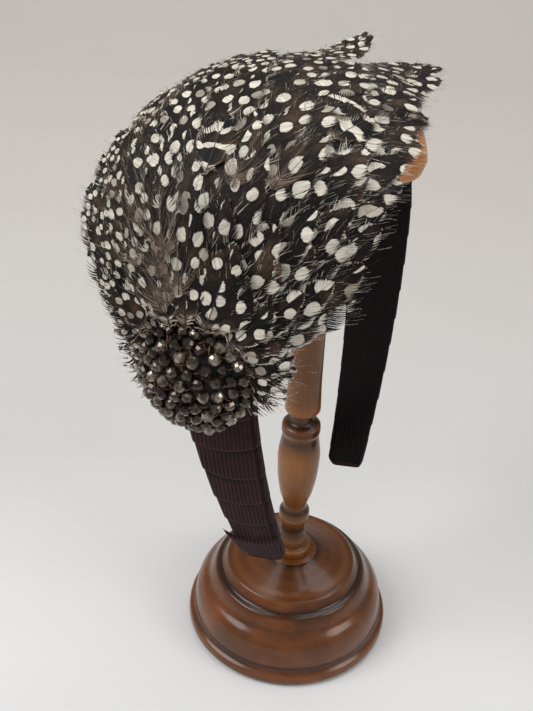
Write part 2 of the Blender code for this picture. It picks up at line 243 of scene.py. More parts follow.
# Short plumes that close the pad round the beads: angle, outer end and layer.
FILLING_START = 11.0
FILLING_WIDTH = 8.5
FILLING_PLUMES = (
    (46.0, 20.0, 3.0), (58.0, 19.0, 2.4), (72.0, 18.0, 1.8), (87.0, 17.0, 1.2), (101.0, 16.0, 0.7),
    (-50.0, 24.0, 2.8), (-61.0, 24.5, 2.3), (-72.0, 23.5, 1.9), (-83.0, 22.0, 1.5), (-94.0, 20.5, 1.1),
    (-106.0, 19.0, 0.7), (36.0, 21.5, 3.2),
)
# Feathers under the two long tips: angle, reach past the outline, width, layer and lift.
TIP_PLUMES = ((-7.4, 4.0, 8.5, 1.6, 5.2), (-14.8, 16.5, 9.5, 1.2, 3.6), (-17.5, 11.0, 11.0, 0.6, 2.4))
# Places (t, v) of the down tufts and the barred plumes, and their length, width and rise.
DOWN_TUFTS = (
    (97.0, 5.0), (90.0, 2.0), (93.0, 6.5), (88.0, 5.0), (94.0, 11.0), (109.0, -9.0), (109.0, -17.0),
    (101.0, 9.0), (86.0, 7.0),
)
TUFT_SIZE = (11.0, 7.5, 0.9)
BARRED_PLUMES = ((130.0, -23.0), (123.0, -26.0), (112.0, -3.0))
BARRED_SIZE = (13.0, 8.5, 0.8)

# How pointed a vane is: the power of its outline.
BLUNT_POINT = 0.7
COVER_POINT = 0.8
TIP_PLUME_POINT = 1.1
LONG_POINT = 1.3

# Size of the dots at places across and along the pad, and layer at shares of the way to its rim.
DOT_SIZE_ACROSS = ((-30.0, -20.0, -10.0, 0.0, 10.0, 20.0), (1.90, 1.62, 1.26, 1.04, 0.88, 0.70))
DOT_SIZE_ALONG = ((60.0, 72.0, 88.0, 112.0, 145.0), (0.50, 0.70, 0.94, 1.0, 0.82))
LEVEL_AT_SHARE = ((0.30, 0.41, 0.56, 0.73, 0.91), (9.0, 7.0, 5.0, 3.0, 1.0))

# Seeds of the random draws.
NODE_PLUME_SEED = 11
COVER_PLUME_SEED = 211
FILLING_PLUME_SEED = 401
WRAP_SEED = 5
BEAD_SEED = 23

# Bead cluster, as the solid has it.
BEAD_PITCH = 2.8
BEAD_RINGS = 5
DOME_SPHERE = 16.7
DOME_FLOOR = 3.2
DOME_EDGE = 0.742

# Stand: (radius, height) down the turned profile.
BASE_PROFILE = [
    (33.6, 0.0), (34.5, 1.2), (34.3, 3.2), (32.8, 4.6), (32.4, 6.2), (32.3, 7.8),
    (31.6, 12.2), (30.0, 15.3), (27.6, 17.6), (26.0, 20.8), (25.1, 22.0), (23.6, 22.5),
    (22.4, 24.2), (21.2, 25.8), (19.2, 26.0), (14.4, 27.5), (8.6, 29.7),
]
COLUMN_PROFILE = [
    (6.0, 30.0), (6.2, 32.4), (4.9, 33.4), (4.7, 35.8), (3.7, 39.5), (4.1, 43.4),
    (5.0, 45.0), (5.0, 47.4), (3.8, 49.8), (5.4, 56.6), (6.5, 64.5), (6.75, 71.6),
    (5.8, 80.3), (6.15, 81.7), (6.0, 83.8), (3.5, 85.4), (3.4, 88.6), (5.6, 90.0),
    (5.2, 100.0), (5.0, 118.6), (5.0, 170.6),
]
# Depth of the stain and painted shade at heights of the turned pieces: dark bands are partly painted shade in the
# grooves, low values leave lit rings pale as partly painted highlight, and the column darkens towards its top as
# painted shade under the pad.
BASE_STAIN_AND_SHADE = [
    (0.0, 0.0), (3.4, 0.0), (4.8, 0.3), (6.2, 0.85), (7.0, 0.0), (8.5, 0.1), (13.5, 0.35),
    (16.0, 0.15), (19.0, 0.0), (21.2, 0.15), (22.0, 0.8), (22.6, 0.85), (23.6, 0.2), (24.4, 0.0),
    (25.6, 0.0), (25.95, 0.8), (26.7, 0.65), (27.6, 0.5), (28.6, 0.25), (29.2, 0.0), (30.0, 0.0),
]
COLUMN_STAIN_AND_SHADE = [
    (30.0, 0.0), (32.6, 0.05), (33.6, 0.75), (34.6, 0.3), (36.4, 0.45), (39.0, 0.85), (41.0, 0.7),
    (43.0, 0.2), (45.6, 0.1), (46.6, 0.55), (48.4, 0.95), (50.0, 0.5), (52.5, 0.1), (58.0, 0.0),
    (72.0, 0.0), (76.0, 0.25), (79.0, 0.85), (80.1, 0.9), (80.7, 0.0), (81.5, 0.0), (82.2, 0.85),
    (84.2, 0.95), (88.0, 0.6), (90.6, 0.1), (116.0, 0.35), (132.0, 0.8), (171.0, 0.9),
]
HEAD_HALF_LENGTH = 27.3
HEAD_HALF_DEPTH = 12.0
HEAD_BOTTOM = 171.0
HEAD_TURN = 0.25
HEAD_PLAN_POWERS = (3.0, 2.6)
HEAD_CROWN_POWER = 0.42
PROFILE_STEPS = 6
# Edges over these angles, in degrees, stay sharp: turned pieces, then the head and the ribbon.
TURNED_SHARP = 50.0
ROUNDED_SHARP = 60.0

# Paper sweep in metres: its front, where it turns up, how widely, its top and half its width.
SWEEP_FRONT = -1.6
SWEEP_TURN = 0.55
SWEEP_CURVE = 0.5
SWEEP_TOP = 2.0
SWEEP_HALF = 2.2
SWEEP_DROP = 0.0003
# Soft lights: place and aim in metres, side, share of the key light's power, and tint.
LAMPS = (
    ("window_left", (-0.55, -0.35, 0.75), (0.0, 0.0, 0.10), 0.55, 1.0, (1.0, 0.995, 0.985)),
    ("window_right", (0.70, -0.05, 0.55), (0.0, 0.0, 0.10), 0.35, 0.35, (1.0, 0.985, 0.96)),
    ("ceiling", (0.05, 0.25, 0.95), (0.0, 0.0, 0.05), 0.7, 0.58, (1.0, 0.995, 0.99)),
)
AIR_COLOUR = (0.95, 0.96, 1.0, 1.0)
AIR_STRENGTH = 0.45


def hex_colour(code):
    """sRGB hex to the linear colour that a shader reads."""
    parts = [int(code[i:i + 2], 16) / 255.0 for i in (1, 3, 5)]
    linear = [p / 12.92 if p <= 0.04045 else ((p + 0.055) / 1.055) ** 2.4 for p in parts]
    return (*linear, 1.0)


class PlumeSettings(bpy.types.PropertyGroup):
    """Sizes and colours of the feathers."""

    barb_spacing: FloatProperty(
        name="Barb Spacing", description="Distance between barbs along a shaft",
        default=0.00042, precision=5, subtype="DISTANCE", unit="LENGTH")
    dot_spacing: FloatProperty(
        name="Dot Spacing", description="Distance between neighbouring dots of a large feather",
        default=0.0031, precision=4, subtype="DISTANCE", unit="LENGTH")
    fringe: FloatProperty(
        name="Fringe", description="Longest reach of a loose barb past the vane's edge",
        default=0.0034, precision=4, subtype="DISTANCE", unit="LENGTH")
    looseness: FloatProperty(
        name="Looseness", description="Loose barbs for each barb of the closed vane",
        default=0.34, min=0.0, max=3.0)
    ground: FloatVectorProperty(
        name="Ground Colour", description="Dark brown of the vane between its dots",
        subtype="COLOR", size=3, min=0.0, max=1.0, default=hex_colour("#120f0e")[:3])
    dot: FloatVectorProperty(
        name="Dot Colour", description="Off-white of the dots",
        subtype="COLOR", size=3, min=0.0, max=1.0, default=hex_colour("#dcd5c6")[:3])


class BeadSettings(bpy.types.PropertyGroup):
    """Sizes and colours of the beads."""

    radius: FloatProperty(
        name="Bead Radius", description="Radius of one faceted bead",
        default=0.00147, precision=5, subtype="DISTANCE", unit="LENGTH")
    coat: FloatVectorProperty(
        name="Coat Colour", description="Smoky brown of the bead's mirror coat",
        subtype="COLOR", size=3, min=0.0, max=1.0, default=hex_colour("#4a3c30")[:3])


class RibbonSettings(bpy.types.PropertyGroup):
    """Sizes and colours of the ribbon."""

    rib_spacing: FloatProperty(
        name="Rib Spacing", description="Distance between the ribs of the grosgrain",
        default=0.00100, precision=5, subtype="DISTANCE", unit="LENGTH")
    step: FloatProperty(
        name="Wrap Step", description="Height of the ribbon's edge over the turn below",
        default=0.00055, precision=5, subtype="DISTANCE", unit="LENGTH")
    colour: FloatVectorProperty(
        name="Ribbon Colour", description="Dark aubergine brown of the ribbon",
        subtype="COLOR", size=3, min=0.0, max=1.0, default=hex_colour("#2a1518")[:3])


class StandSettings(bpy.types.PropertyGroup):
    """Fineness and colours of the stand."""

    segments: IntProperty(
        name="Segments", description="Flat sides round each turned piece",
        default=128, min=24, max=256)
    stain: FloatVectorProperty(
        name="Stain Colour", description="Walnut stain on the turned foot",
        subtype="COLOR", size=3, min=0.0, max=1.0, default=hex_colour("#5c3213")[:3])


class StudioSettings(bpy.types.PropertyGroup):
    """The floor and the light."""

    floor: FloatVectorProperty(
        name="Floor Colour", description="Pale grey of the floor",
        subtype="COLOR", size=3, min=0.0, max=1.0, default=hex_colour("#dddddc")[:3])
    key: FloatProperty(
        name="Key Light", description="Power of the large soft light",
        default=5.3, min=0.0, unit="POWER")


def add(tree, kind, settings=None, links=None):
    """Adds one node, with its settings and its incoming links from sockets or from first outputs."""
    node = tree.nodes.new(kind)
    for name, value in (settings or {}).items():
        if name == "stops":
            band = node.color_ramp.elements
            while len(band) < len(value):
                band.new(0.5)
            for element, (place, colour) in zip(band, value):
                element.position = place
                element.color = hex_colour(colour) if isinstance(colour, str) else colour
        elif isinstance(name, int) or name in node.inputs:
            node.inputs[name].default_value = value
        else:
            setattr(node, name, value)
    for name, source in (links or {}).items():
        socket = source.outputs[0] if isinstance(source, bpy.types.Node) else source
        tree.links.new(socket, node.inputs[name])
    return node


MULTIPLY = {"data_type": "RGBA", "blend_type": "MULTIPLY"}


def new_material(name):
    """An empty node material with its output."""
    made = bpy.data.materials.new(name)
    made.use_nodes = True
    made.node_tree.nodes.clear()
    return made, made.node_tree


def finish_material(made, shader):
    """Links the surface to the material's output."""
    add(made.node_tree, "ShaderNodeOutputMaterial", None, {"Surface": shader})
    return made


def unit_vectors():
    """The headband plane's sideways, upward and across directions."""
    across = np.array([-math.cos(BAND_TILT), 0.0, -math.sin(BAND_TILT)])
    lean = np.array([-math.sin(BAND_TILT), 0.0, math.cos(BAND_TILT)])
    side = np.array([0.0, 1.0, 0.0])
    out = math.cos(BAND_ROLL) * side + math.sin(BAND_ROLL) * lean
    rise = -math.sin(BAND_ROLL) * side + math.cos(BAND_ROLL) * lean
    return out, rise, across


SIDE, RISE, ACROSS = unit_vectors()


def band_curve():
    """Arc length, plane position and outward normal along the band."""
    count = 1500
    drop = np.linspace(1.0, 0.0, count, endpoint=False)
    taper = BAND_HALF_WIDTH - BAND_TIP
    near = np.stack([-(BAND_HALF_WIDTH - taper * drop ** 2), -drop * BAND_LEG], -1)
    turn = np.linspace(math.pi, 0.0, count)
    power = 2.0 / BAND_ROUNDNESS
    wide = np.sign(np.cos(turn)) * np.abs(np.cos(turn)) ** power * BAND_HALF_WIDTH
    tall = np.abs(np.sin(turn)) ** power * BAND_RISE
    arc = np.stack([wide, tall], -1)
    drop = np.linspace(0.0, 1.0, count + 1)[1:]
    far = np.stack([BAND_HALF_WIDTH - taper * drop ** 2, -drop * BAND_LEG], -1)
    path = np.concatenate([near, arc, far])
    heading = np.gradient(path, axis=0)
    heading /= np.linalg.norm(heading, axis=1)[:, None]
    normal = np.stack([-heading[:, 1], heading[:, 0]], -1)
    path = path + SURFACE_OFFSET * normal
    steps = np.linalg.norm(np.diff(path, axis=0), axis=1)
    return np.concatenate([[0.0], np.cumsum(steps)]), path, normal


CURVE_T, CURVE_P, CURVE_N = band_curve()
BAND_LENGTH = float(CURVE_T[-1])


def on_band(t, v, h):
    """World points in millimetres for arrays of t, v and h."""
    t, v, h = np.broadcast_arrays(np.asarray(t, float), np.asarray(v, float), np.asarray(h, float))
    place = [np.interp(t, CURVE_T, CURVE_P[:, i])[..., None] for i in (0, 1)]
    facing = [np.interp(t, CURVE_T, CURVE_N[:, i])[..., None] for i in (0, 1)]
    foot = np.array(BAND_CENTRE) + place[0] * SIDE + place[1] * RISE
    normal = facing[0] * SIDE + facing[1] * RISE
    normal = normal / np.linalg.norm(normal, axis=-1, keepdims=True)
    reach = (CROSS_RADIUS + h - SURFACE_OFFSET)[..., None]
    bend = (v / CROSS_RADIUS)[..., None]
    return foot + reach * np.sin(bend) * ACROSS + (reach * np.cos(bend) - CROSS_RADIUS) * normal


def band_half(t):
    """Half the band's width at t, tapering down each leg."""
    share = max(0.0, 1.0 - t / LEG_TAPER, 1.0 - (BAND_LENGTH - t) / LEG_TAPER)
    return 0.5 * (BAND_WIDTH + (BAND_TIP_WIDTH - BAND_WIDTH) * share)


def swelling(along, left):
    """Breadth of the pad at shares of its length, as a share of its widest."""
    middle, fall, place, ease = PAD_LEFT
    right = np.maximum(0.2, 1.0 + PAD_EGG * along)
    return np.where(left, middle - fall * np.tanh((along - place) / ease), right)


def boundary(angle):
    """Distance from the beads to the pad's egg-shaped outline along an angle."""
    angle = np.asarray(angle, float)
    near = np.zeros(angle.shape)
    far = np.full(angle.shape, 180.0)
    for _ in range(30):
        mid = 0.5 * (near + far)
        along = (BEAD_CENTRE[0] + mid * np.cos(angle) - PAD_CENTRE[0]) / PAD_RADII[0]
        aside = (BEAD_CENTRE[1] + mid * np.sin(angle) - PAD_CENTRE[1]) / PAD_RADII[1]
        inside = along * along + (aside / swelling(along, aside > 0.0)) ** 2 < 1.0
        near = np.where(inside, mid, near)
        far = np.where(inside, far, mid)
    return near


def rim_angles(count):
    """Angles from the beads to points spaced evenly round the outline."""
    sweep = np.linspace(math.radians(-128.0), math.radians(128.0), 721)
    rim = np.stack([
        PAD_CENTRE[0] + PAD_RADII[0] * np.cos(sweep),
        PAD_CENTRE[1] + PAD_RADII[1] * np.sin(sweep) * swelling(np.cos(sweep), sweep > 0.0)], -1)
    run = np.concatenate([[0.0], np.cumsum(np.linalg.norm(np.diff(rim, axis=0), axis=1))])
    marks = (np.arange(count) + 0.5) / count * run[-1]
    at = np.stack([np.interp(marks, run, rim[:, i]) for i in (0, 1)], -1)
    return [math.atan2(p[1] - BEAD_CENTRE[1], p[0] - BEAD_CENTRE[0]) for p in at]


def layer_height(dt, dv, level):
    """Height of a feather layer: the upper rows dip towards the beads."""
    share = np.hypot(dt, dv) / boundary(np.arctan2(dv, dt))
    sink = np.clip(1.0 - (share - 0.12) / 0.51, 0.0, 1.0)
    return FEATHER_BASE + FEATHER_PITCH * (level - 5.1 * sink)


def plume(angle, start, end, width, level, lift=0.0, point=BLUNT_POINT, **more):
    """One feather: angle and reach from the beads, width, layer, raised tip and point."""
    return {
        "angle": angle, "start": start, "end": end, "width": width, "level": level,
        "lift": lift, "point": point, **more}


def feather_plan():
    """Place, size and layer of every feather node, in the order of the solids."""
    plan = []
    for row, (name, reach, count) in enumerate(FEATHER_ROWS):
        kept = 0
        angles = rim_angles(count)
        for i, angle in enumerate(angles):
            rim = float(boundary(angle))
            end = reach * rim
            start = max(FEATHER_START, end - FEATHER_REACH * rim)
            if end - start < SHORTEST_FEATHER:
                continue
            kept += 1
            extra, lift, aside = 0.0, 0.0, 0.0
            for at, longer, higher, turn in LONG_TIPS:
                if row == 0 and abs(math.degrees(angle) - at) < LONG_TIP_REACH:
                    extra, lift, aside = longer, higher, math.radians(turn)
            # A feather is no wider than its row, its length and the feathers two places on allow.
            spread = 200.0 * reach / count
            beside = [abs(angle - angles[j]) for j in (i - 2, i + 2) if 0 <= j < count]
            room = 0.86 * math.sin(min(1.4, min(beside))) * (start + 0.5 * (end - start))
            width = min(WIDEST_FEATHER, 1.45 * spread, 0.72 * (end - start) + 3.0, room)
            if extra:
                width *= LONG_TIP_WIDTH
            plan.append(plume(
                angle + aside, start, end + extra, width, 2 * row + i % 2, lift,
                LONG_POINT if extra else BLUNT_POINT, node=f"{name}_{kept:02d}", row=row))
    for i, (degrees, end, level) in enumerate(EDGE_FEATHERS):
        plan.append(plume(
            math.radians(degrees), FEATHER_START, end, EDGE_FEATHER_WIDTH, level,
            node=f"edge_feather_{i + 1:02d}", row=0))
    return plan


def cover_plan(plan):
    """Feathers between the neighbours of each row, which close the pad over its shafts."""
    between = []
    for a, b in zip(plan, plan[1:]):
        same_row = a["node"][:6] == b["node"][:6] and not a["node"].startswith("edge")
        if not same_row or a["point"] > 1.0 or b["point"] > 1.0:
            continue
        between.append(plume(
            0.5 * (a["angle"] + b["angle"]), max(COVER_START, a["start"] - 1.5),
            0.485 * (a["end"] + b["end"]), 0.46 * (a["width"] + b["width"]),
            max(a["level"], b["level"]) + 0.35, point=COVER_POINT, row=a["row"]))
    return between


def dot_size(spec):
    """Dots are large on the right of the pad and small towards its left margin and its top."""
    reach = 0.4 * spec["start"] + 0.6 * spec["end"]
    along = BEAD_CENTRE[0] + math.cos(spec["angle"]) * reach
    aside = BEAD_CENTRE[1] + math.sin(spec["angle"]) * reach
    return float(np.interp(aside, *DOT_SIZE_ACROSS)) * float(np.interp(along, *DOT_SIZE_ALONG))


def plume_at(t, v, length, width, rise):
    """A short plume laid over the others at a place of its own."""
    dt, dv = t - BEAD_CENTRE[0], v - BEAD_CENTRE[1]
    distance, angle = math.hypot(dt, dv), math.atan2(dv, dt)
    share = distance / float(boundary(angle))
    level = float(np.interp(share, *LEVEL_AT_SHARE)) + rise
    return plume(
        angle, distance - 0.5 * length, distance + 0.5 * length, width, level, point=COVER_POINT)


def filling_plan():
    """Short plumes round the beads, tufts of down and the barred plumes."""
    plan = [
        plume(math.radians(degrees), FILLING_START, end, FILLING_WIDTH, level)
        for degrees, end, level in FILLING_PLUMES]
    plan += [{**plume_at(t, v, *TUFT_SIZE), "down": 1.0} for t, v in DOWN_TUFTS]
    for degrees, past, width, level, lift in TIP_PLUMES:
        angle = math.radians(degrees)
        rim = float(boundary(angle))
        plan.append(plume(angle, 0.72 * rim, rim + past, width, level, lift, TIP_PLUME_POINT))
    plan += [{**plume_at(t, v, *BARRED_SIZE), "barred": 1.0} for t, v in BARRED_PLUMES]
    return plan


def by_beads(u, v, height):
    """World place, in metres, of a point beside the middle of the beads."""
    return on_band(BEAD_CENTRE[0] + u, BEAD_CENTRE[1] + v, height) * MM


def bridge(work, lower, upper):
    """Quads between two closed rings of vertices."""
    count = len(lower)
    return [
        work.faces.new([lower[i], lower[(i + 1) % count], upper[(i + 1) % count], upper[i]])
        for i in range(count)]


def plate(work, grid, rows, columns):
    """Quads over both sides of a plate and round its rim, facing outwards."""
    for side in (0, 1):
        for r in range(rows - 1):
            for c in range(columns - 1):
                work.faces.new([
                    grid[side, r, c], grid[side, r + 1, c], grid[side, r + 1, c + 1], grid[side, r, c + 1]])
    rim = [(r, 0) for r in range(rows)] + [(rows - 1, c) for c in range(1, columns)]
    rim += [(r, columns - 1) for r in range(rows - 2, -1, -1)] + [(0, c) for c in range(columns - 2, 0, -1)]
    bridge(work, [grid[0, r, c] for r, c in rim], [grid[1, r, c] for r, c in rim])
    bmesh.ops.recalc_face_normals(work, faces=work.faces)


def place_mesh(name, mesh, materials):
    """Gives a mesh its materials and makes it an object of the scene."""
    for made in materials:
        mesh.materials.append(made)
    piece = bpy.data.objects.new(name, mesh)
    bpy.context.scene.collection.objects.link(piece)
    return piece


def solid(name, work, materials, sharp=None, faceted=False):
    """Makes a finished bmesh an object, smooth but for edges over the sharp angle."""
    mesh = bpy.data.meshes.new(name)
    work.to_mesh(mesh)
    work.free()
    if not faceted:
        mesh.shade_smooth()
    if sharp:
        mesh.set_sharp_from_angle(angle=math.radians(sharp))
    return place_mesh(name, mesh, materials)


class MeshParts:
    """Collects quads, with their pattern maps, before they become one mesh."""

    def __init__(self):
        self.points = []
        self.faces = []
        self.maps = {"OFBake": [], "plume_mm": [], "strand": [], "tone": []}
        self.slots = []
        self.count = 0

    def strips(self, left, right, maps, slot):
        """Adds ribbons: left and right are (ribbons, stations, 3) edges."""
        ribbons, stations = left.shape[:2]
        points = np.stack([left, right], axis=2).reshape(-1, 3)
        index = np.arange(ribbons * stations * 2).reshape(ribbons, stations, 2) + self.count
        quads = np.stack([
            index[:, :-1, 0], index[:, :-1, 1], index[:, 1:, 1], index[:, 1:, 0]], -1).reshape(-1, 4)
        self.points.append(points)
        self.faces.append(quads)
        self.slots.append(np.full(len(quads), slot))
        for name, values in maps.items():
            flat = values.reshape(-1, 2)
            self.maps[name].append(flat[quads - self.count].reshape(-1, 2))
        self.count += len(points)

    def build(self, name, materials):
        """Makes the object."""
        points = np.concatenate(self.points) * MM
        faces = np.concatenate(self.faces)
        mesh = bpy.data.meshes.new(name)
        mesh.vertices.add(len(points))
        mesh.vertices.foreach_set("co", points.astype(np.float32).ravel())
        mesh.loops.add(faces.size)
        mesh.loops.foreach_set("vertex_index", faces.astype(np.int32).ravel())
        mesh.polygons.add(len(faces))
        mesh.polygons.foreach_set("loop_start", np.arange(0, faces.size, 4, dtype=np.int32))
        mesh.polygons.foreach_set("material_index", np.concatenate(self.slots).astype(np.int32))
        for key, parts in self.maps.items():
            layer = mesh.uv_layers.new(name=key)
            layer.data.foreach_set("uv", np.concatenate(parts).astype(np.float32).ravel())
        mesh.update(calc_edges=True)
        mesh.shade_smooth()
        return place_mesh(name, mesh, materials)


def plume_material(settings):
    """Guinea fowl vane: keratin barbs, dark brown with round off-white dots."""
    # Barbs lie side by side, so the sheen is soft and the dots' edges are ragged.
    made, tree = new_material("guinea fowl vane, grown")
    plume = add(tree, "ShaderNodeUVMap", {"uv_map": "plume_mm"})
    strand = add(tree, "ShaderNodeUVMap", {"uv_map": "strand"})
    tone = add(tree, "ShaderNodeUVMap", {"uv_map": "tone"})
    strands = add(tree, "ShaderNodeSeparateXYZ", None, {0: strand})
    tones = add(tree, "ShaderNodeSeparateXYZ", None, {0: tone})
    wobble = add(tree, "ShaderNodeTexNoise", {"Scale": 0.55, "Detail": 2.0}, {"Vector": plume})
    shift = add(tree, "ShaderNodeVectorMath", {"operation": "MULTIPLY_ADD", 1: (0.9, 0.9, 0.0)},
                {0: wobble.outputs["Color"], 2: plume})
    pitch = 1.0 / (settings.dot_spacing / MM)
    turned = add(tree, "ShaderNodeMapping",
                 {"Rotation": (0.0, 0.0, math.radians(45.0)), "Scale": (pitch, pitch, 1.0)},
                 {"Vector": shift})
    cells = add(tree, "ShaderNodeTexVoronoi",
                {"voronoi_dimensions": "2D", "Scale": 1.0, "Randomness": 0.34},
                {"Vector": turned})
    chance = add(tree, "ShaderNodeSeparateColor", None, {0: cells.outputs["Color"]})
    # A dot is 0.26 to 0.35 of the spacing in radius, and one cell in twenty has none.
    radius = add(tree, "ShaderNodeMapRange",
                 {"From Min": 0.0, "From Max": 1.0, "To Min": 0.26, "To Max": 0.35},
                 {"Value": chance})
    missing = add(tree, "ShaderNodeMath", {"operation": "GREATER_THAN", 1: 0.05}, {0: chance.outputs[1]})
    size = add(tree, "ShaderNodeMath", {"operation": "MULTIPLY"},
               {0: radius, 1: missing})
    depth = add(tree, "ShaderNodeMath", {"operation": "SUBTRACT"},
                {0: size, 1: cells.outputs["Distance"]})
    dots = add(tree, "ShaderNodeMapRange",
               {"From Min": -0.015, "From Max": 0.035, "interpolation_type": "SMOOTHSTEP"},
               {"Value": depth})
    rims = add(tree, "ShaderNodeMapRange",
               {"From Min": -0.13, "From Max": -0.02, "To Min": 1.0, "To Max": 0.35},
               {"Value": depth})
    # Wavy pale bars replace the dots on a few feathers.
    bars = add(tree, "ShaderNodeTexWave",
               {"wave_type": "BANDS", "bands_direction": "Y", "Scale": 0.11, "Distortion": 4.0,
                "Detail": 1.0, "Detail Scale": 2.0},
               {"Vector": plume})
    barred = add(tree, "ShaderNodeMapRange", {"From Min": 0.74, "From Max": 0.82}, {"Value": bars.outputs[1]})
    marks = add(tree, "ShaderNodeMix", {"data_type": "FLOAT"},
                {0: tones.outputs[1], 2: dots, 3: barred})
    # Ground: near black to umber, with a fine pale stippling.
    patch = add(tree, "ShaderNodeTexNoise", {"Scale": 0.16, "Detail": 3.0}, {"Vector": plume})
    ground = add(tree, "ShaderNodeValToRGB",
                 {"stops": [(0.38, (*settings.ground, 1.0)), (0.52, "#1d1510"),
                            (0.68, "#4a382b")]},
                 {"Fac": patch})
    speck = add(tree, "ShaderNodeTexNoise", {"Scale": 3.2, "Detail": 2.0}, {"Vector": plume})
    speckled = add(tree, "ShaderNodeMapRange", {"From Min": 0.60, "From Max": 0.76, "To Max": 0.22},
                   {"Value": speck})
    pale = add(tree, "ShaderNodeMix", {"data_type": "RGBA", 7: hex_colour("#8a7c6e")},
               {0: speckled, 6: ground})
    rimmed = add(tree, "ShaderNodeMix", {**MULTIPLY, 0: 1.0},
                 {6: pale.outputs[2], 7: rims})
    # Most dots are clean and some are grey or faint.
    dot_shade = add(tree, "ShaderNodeValToRGB",
                    {"stops": [(0.0, (*settings.dot, 1.0)), (0.78, (*settings.dot, 1.0)),
                               (0.90, "#b5ab9d"), (1.0, "#857b6f")]},
                    {"Fac": chance.outputs[2]})
    coloured = add(tree, "ShaderNodeMix", {"data_type": "RGBA"},
                   {0: marks, 6: rimmed.outputs[2], 7: dot_shade})
    # Barb to barb difference draws the fine lines across the vane.
    streak = add(tree, "ShaderNodeMapRange", {"To Min": 0.66, "To Max": 1.10}, {"Value": strands})
    streaked = add(tree, "ShaderNodeMix", {**MULTIPLY, 0: 1.0},
                   {6: coloured.outputs[2], 7: streak})
    # Loose tips and down are paler, taupe to cream.
    loose = add(tree, "ShaderNodeMapRange", {"From Min": 0.86, "From Max": 1.0, "To Max": 0.85},
                {"Value": strands.outputs[1]})
    tip_shade = add(tree, "ShaderNodeValToRGB",
                    {"stops": [(0.0, "#1e1713"), (0.60, "#54453a"),
                               (0.85, "#c9beb0"), (1.0, "#efe8dc")]},
                    {"Fac": strands})
    tipped = add(tree, "ShaderNodeMix", {"data_type": "RGBA"},
                 {0: loose, 6: streaked.outputs[2], 7: tip_shade})
    down_shade = add(tree, "ShaderNodeValToRGB",
                     {"stops": [(0.0, "#5d4a40"), (0.5, "#8b7466"),
                                (0.85, "#b39f91")]},
                     {"Fac": strands})
    downy = add(tree, "ShaderNodeMix", {"data_type": "RGBA"},
                {0: tones, 6: tipped.outputs[2], 7: down_shade})
    shader = add(tree, "ShaderNodeBsdfPrincipled",
                 {"Roughness": 0.62, "Specular IOR Level": 0.16},
                 {"Base Color": downy.outputs[2]})
    return finish_material(made, shader)


def quill_material():
    """Feather shaft: keratin, grown as a hollow quill, horn brown and slightly glossy."""
    made, tree = new_material("keratin quill, grown")
    place = add(tree, "ShaderNodeTexCoord").outputs["Object"]
    grain = add(tree, "ShaderNodeTexNoise", {"Scale": 800.0, "Detail": 2.0}, {"Vector": place})
    shade = add(tree, "ShaderNodeValToRGB",
                {"stops": [(0.35, "#17110e"), (0.65, "#3a2d24")]},
                {"Fac": grain})
    return finish_material(made, add(tree, "ShaderNodeBsdfPrincipled", {"Roughness": 0.45, "IOR": 1.54},
                                     {"Base Color": shade}))


def outline(share, point=0.7):
    """Half width of a vane, from quill (0) to tip (1), as a share of its widest."""
    share = np.clip(share, 0.0, 1.0)
    return np.sin(0.05 + 2.953 * share ** 1.25) ** point


